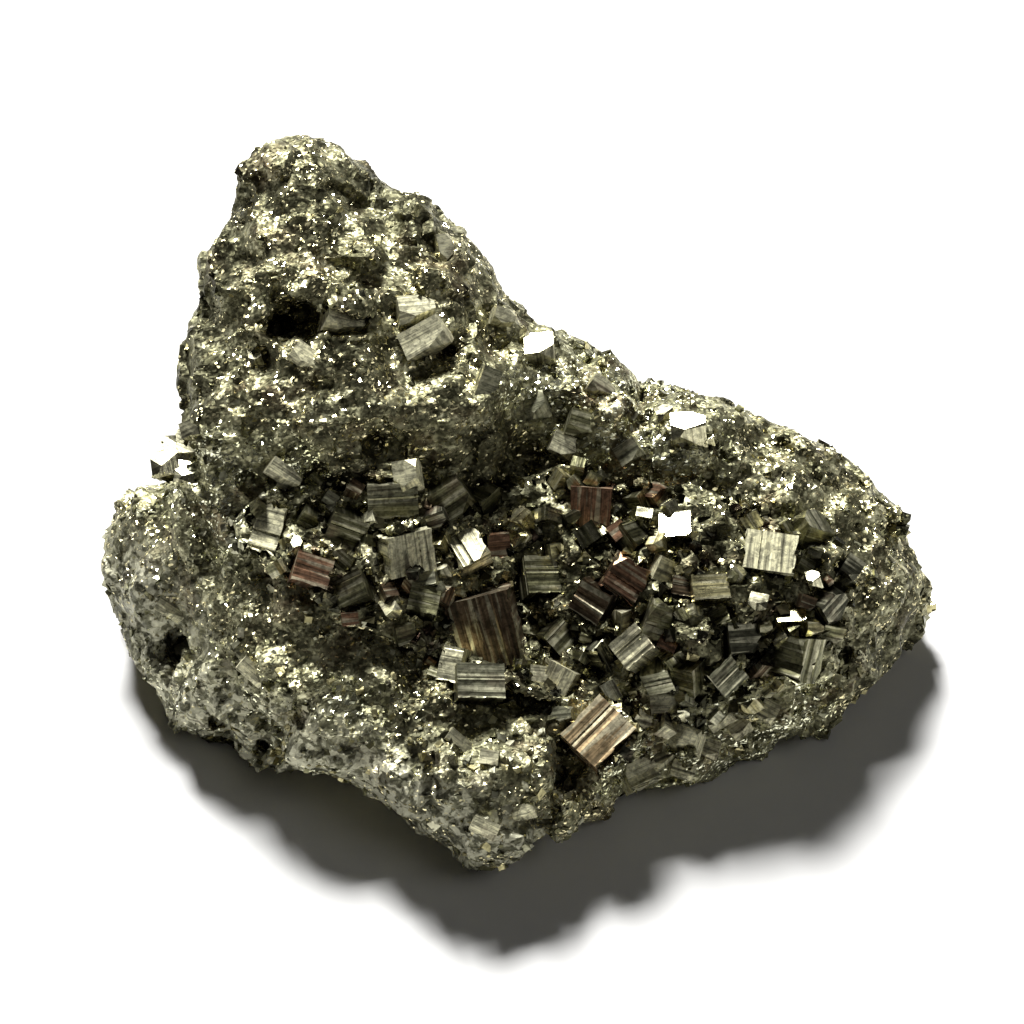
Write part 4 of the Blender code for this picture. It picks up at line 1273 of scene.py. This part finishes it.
    def grow(self, lump: BVHTree) -> None:
        """Lays down the crystals that stand on the lump itself.

        Args:
            lump: The lump's surface.
        """
        for crystal in CRYSTALS:
            self.place(self.large, lump, crystal)
        for crystal in LUMP_CRYSTALS:
            self.place(self.large, lump, crystal, level=True)
        for crystal in self.small_rows():
            if self.chance.random() < self.crisp:
                self.place(self.small, lump, crystal)

    def sprinkle(self, skin: BVHTree) -> None:
        """Lays down the slivers and tiny cubes that stand on the finished relief.

        Args:
            skin: The whole specimen's surface.
        """
        for crystal in SLIVERS:
            self.place(self.small, skin, crystal)
        least = len(self.boxes) + self.tiny_cubes
        while len(self.boxes) < least:
            crystal = self.tiny_row()
            free = all(
                math.dist(crystal.spot, other.spot) > 0.6 * max(other.size) for other in CRYSTALS
            )
            if free and inside_trough(np.array([crystal.spot]))[0] > -1.0:
                self.place(self.tiny, skin, crystal)

    def pieces(self) -> list[bpy.types.Object]:
        """Makes the pieces that the crystals make up."""
        heaps = {"large_cubes": self.large, "small_cubes": self.small, "tiny_cubes": self.tiny}
        return [heap.build(name) for name, heap in heaps.items()]


# ---------------------------------------------------------------- grains


@dataclass(frozen=True)
class GrainZone:
    """One part of the lump, seen on display, and the grains that stand out of it.

    `flakes` is the share of them that are flakes, and `sunk` how deep the others are bedded, as a
    share of their size.
    """

    name: str
    centre: Spot
    grains: int
    sizes: Spot
    tints: tuple[Tint, ...]
    gloss: Spot = (0.18, 0.42)
    flakes: float = 0.0
    sunk: float = 0.6


@dataclass
class Grains:
    """The grains that cover the lump, each a block or a flake that stands a little out of it."""

    zones: tuple[GrainZone, ...] = (
        GrainZone(
            "peak_grains", (-19.0, 20.0), 900, (0.3, 0.8),
            (Tint.BRASS, Tint.OLIVE, Tint.OLIVE, Tint.GREY),
        ),
        GrainZone(
            "left_grains", (-36.0, -8.0), 700, (0.3, 0.8), (Tint.SILVER, Tint.GREY, Tint.OLIVE),
            gloss=(0.3, 0.6), flakes=0.5,
        ),
        GrainZone(
            "front_grains", (-12.0, -24.0), 900, (0.3, 0.9),
            (Tint.SILVER, Tint.GREY, Tint.BRASS, Tint.OLIVE), gloss=(0.25, 0.55), flakes=0.5,
        ),
        GrainZone(
            "right_grains", (28.0, 2.0), 1800, (0.4, 1.0),
            (Tint.BRASS, Tint.OLIVE, Tint.OLIVE, Tint.GREY), sunk=0.68,
        ),
        GrainZone(
            "trough_grains", (4.0, -8.0), 2500, (0.3, 1.0),
            (Tint.BRASS, Tint.OLIVE, Tint.COAL, Tint.OLIVE),
        ),
    )
    seed: int = 5

    def build(self, surfaces: list[bpy.types.Object], boxes: list[Box]) -> list[bpy.types.Object]:
        """Scatters the grains.

        Args:
            surfaces: The pieces that the grains stand on.
            boxes: The crystals that stay bare.

        Returns:
            A piece for each zone.
        """
        chance = np.random.default_rng(self.seed)
        corners, shut = [], []
        for piece in surfaces:
            triangles = triangles_of(piece)
            marks = np.empty(len(piece.data.vertices) * 4, np.float32)
            piece.data.attributes["cover"].data.foreach_get("color", marks)
            corners.append(corners_of(piece)[triangles])
            shut.append(marks.reshape(-1, 4)[triangles, 0].mean(axis=1))
        spread, shade = np.concatenate(corners), np.concatenate(shut)
        facing = np.cross(spread[:, 1] - spread[:, 0], spread[:, 2] - spread[:, 0])
        area = np.linalg.norm(facing, axis=1)
        facing /= np.maximum(area, 1e-12)[:, None]
        area = np.where(spread[:, :, 2].mean(axis=1) > 1.0, area, 0.0)
        tries = 3 * sum(zone.grains for zone in self.zones)
        picked = chance.choice(len(area), tries, p=area / area.sum())
        shares = chance.dirichlet((1.0, 1.0, 1.0), len(picked))
        places = (spread[picked] * shares[:, :, None]).sum(axis=1)
        facing, shade = facing[picked], shade[picked]
        bare = np.zeros(len(places), bool)
        for middle, axes, half in boxes:
            bare |= (np.abs((places - middle) @ axes) < half + 0.06).all(axis=1)
        seen = DISPLAY.seen(places)
        centres = np.array([zone.centre for zone in self.zones[:-1]])
        nearest = np.hypot(*(seen[:, None] - centres[None]).transpose(2, 0, 1)).argmin(axis=1)
        nearest = np.where(inside_trough(seen) > 0.5, len(self.zones) - 1, nearest)
        made = []
        for number, zone in enumerate(self.zones):
            chosen = np.flatnonzero((nearest == number) & ~bare)[: zone.grains]
            found = places[chosen], facing[chosen], shade[chosen]
            made.append(self.scatter(zone, *found, chance))
        return made

    def scatter(
        self, zone: GrainZone, places: Array, facing: Array, shade: Array,
        chance: np.random.Generator,
    ) -> bpy.types.Object:
        """Makes one zone's grains.

        Args:
            zone: The zone.
            places: Where its grains stand.
            facing: The surface's normal under each.
            shade: How shut in each is, which darkens its colour as painted shade.
            chance: The source of the grains' sizes, turns and colours.

        Returns:
            The grains as one piece.
        """
        count = len(places)
        box = np.array([(x, y, z) for x in (-0.5, 0.5) for y in (-0.5, 0.5) for z in (-0.5, 0.5)])
        sides = np.array((
            (0, 1, 3), (0, 3, 2), (4, 6, 7), (4, 7, 5), (0, 4, 5), (0, 5, 1),
            (2, 3, 7), (2, 7, 6), (0, 2, 6), (0, 6, 4), (1, 5, 7), (1, 7, 3),
        ))
        flake = chance.random(count) < zone.flakes
        loose = np.where(flake, 0.3, 8.0)[:, None]
        up = facing + chance.normal(0.0, 1.0, (count, 3)) * loose
        up /= np.linalg.norm(up, axis=1, keepdims=True)
        side = np.cross(up, chance.normal(0.0, 1.0, (count, 3)))
        side /= np.linalg.norm(side, axis=1, keepdims=True)
        axes = np.stack([side, np.cross(up, side), up], axis=2)
        size = zone.sizes[0] + (zone.sizes[1] - zone.sizes[0]) * chance.random(count) ** 1.8
        stretch = chance.uniform(0.7, 1.3, (count, 3))
        stretch[:, 2] = np.where(flake, 0.3, stretch[:, 2])
        bent = box[None] + chance.normal(0.0, 0.1, (count, 8, 3))
        points = np.einsum("nij,nkj->nki", axes, bent * (size[:, None] * stretch)[:, None])
        bedded = chance.uniform(zone.sunk - 0.15, zone.sunk + 0.15, count)
        depth = np.where(flake, 0.0, bedded) * size
        points += (places - facing * depth[:, None])[:, None]
        drawn = chance.integers(0, len(zone.tints), count)
        tints = np.array([tint.value for tint in zone.tints])[drawn]
        # Painted shade: grains that stand shut in are made darker.
        tints = tints * chance.uniform(0.7, 1.15, (count, 1)) * (1.0 - 0.85 * shade[:, None])
        gloss = chance.uniform(*zone.gloss, (count, 1))
        clear = points[:, :, 2].min(axis=1) > FLOOR_GAP
        points, tints, gloss, count = points[clear], tints[clear], gloss[clear], clear.sum()
        heap = Heap()
        triangles = (sides[None] + 8 * np.arange(count)[:, None, None]).reshape(-1, 3)
        heap.add(points.reshape(-1, 3), triangles, np.repeat(np.hstack([tints, gloss]), 8, axis=0))
        return heap.build(zone.name)


# ---------------------------------------------------------------- the studio


@dataclass
class Studio:
    """The pale floor, the soft light and the camera."""

    key_from: Triple = (-0.40, 1.55, 2.00)
    key_power: float = 190.0
    key_size: float = 0.66
    fill_from: Triple = (0.40, -0.25, 0.60)
    fill_power: float = 0.36
    fill_size: float = 0.3
    sky: float = 0.032
    sky_colour: Triple = (1.0, 0.98, 0.93)
    floor_colour: Triple = (0.66, 0.655, 0.64)
    floor_size: float = 6.0

    def build(self) -> None:
        """Sets it all up."""
        self.floor()
        self.lamp("key", self.key_from, self.key_power, self.key_size)
        self.lamp("fill", self.fill_from, self.fill_power, self.fill_size)
        world = bpy.data.worlds.new("studio")
        world.use_nodes = True
        sky = world.node_tree.nodes["Background"].inputs
        sky["Color"].default_value = (*self.sky_colour, 1.0)
        sky["Strength"].default_value = self.sky
        bpy.context.scene.world = world
        bpy.context.scene.view_settings.view_transform = "Standard"
        self.camera()

    def floor(self) -> None:
        """A plain pale floor."""
        bpy.ops.object.select_all(action="DESELECT")
        bpy.ops.mesh.primitive_plane_add(size=self.floor_size)
        floor = bpy.context.object
        floor.name = "floor"
        material, nodes, shader = new_material("pale_floor")
        nodes.wire(shader, {"Base Color": (*self.floor_colour, 1.0), "Roughness": 0.9})
        floor.data.materials.append(material)

    def lamp(self, name: str, place: Triple, power: float, size: float) -> None:
        """A soft square lamp that faces the specimen.

        Args:
            name: The lamp's name.
            place: Where it stands, in metres.
            power: Its power in watts.
            size: Its width in metres.
        """
        light = bpy.data.lights.new(name, "AREA")
        light.energy = power
        light.size = size
        lamp = add_object(name, light)
        lamp.location = place
        lamp.rotation_euler = Vector(place).to_track_quat("Z", "Y").to_euler()

    def camera(self) -> None:
        """A camera at the eye of the display view."""
        data = bpy.data.cameras.new("eye")
        data.sensor_width = 36.0
        data.lens = data.sensor_width * DISPLAY.eye_distance / DISPLAY.width
        data.clip_start, data.clip_end = 0.01, 20.0
        camera = add_object("eye", data)
        toward = Vector(DISPLAY.axes()[:, 2])
        camera.location = Vector(DISPLAY.centre) * MM + toward * DISPLAY.eye_distance * MM
        camera.rotation_euler = toward.to_track_quat("Z", "Y").to_euler()
        bpy.context.scene.camera = camera


def surface_of(*objects: bpy.types.Object) -> BVHTree:
    """A surface that lines of sight can be cast on, made from several objects."""
    points, triangles, count = [], [], 0
    for obj in objects:
        found = corners_of(obj) * MM
        points.append(found)
        triangles.append(triangles_of(obj) + count)
        count += len(found)
    points, triangles = np.concatenate(points), np.concatenate(triangles)
    return BVHTree.FromPolygons(points.tolist(), triangles.tolist())


def main() -> None:
    """Builds the specimen, dresses it and sets the studio up round it."""
    logging.basicConfig(level=logging.INFO, format="%(name)s: %(message)s")
    effects = Effects(facets_group(), weather_group())
    granular = MassFinish().make(effects)
    grains_finish = GrainFinish().make(effects)
    crystal_finish = CrystalFinish().make(effects)

    crystals = Crystals()
    crystals.prepare()
    crystals.grow(surface_of(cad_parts["pyrite_mass"]))
    rocks = (
        Rock("pyrite_mass", "lump"),
        Rock("cube_crust", "trough_bed", 0.36, ((2.0, 0.7),), (1.4, 0.4), hollowed=False),
    )
    bodies = [rock.build(crystals.boxes) for rock in rocks]
    skin = surface_of(*bodies)
    for rock, body in zip(rocks, bodies):
        rock.cover(body, skin)
        dress(body, granular)
        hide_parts(rock.node)

    crystals.sprinkle(skin)
    for piece in crystals.pieces():
        dress(piece, crystal_finish)
    for piece in Grains().build(bodies, crystals.boxes):
        dress(piece, grains_finish)
    Studio().build()


if __name__ == "__main__":
    main()
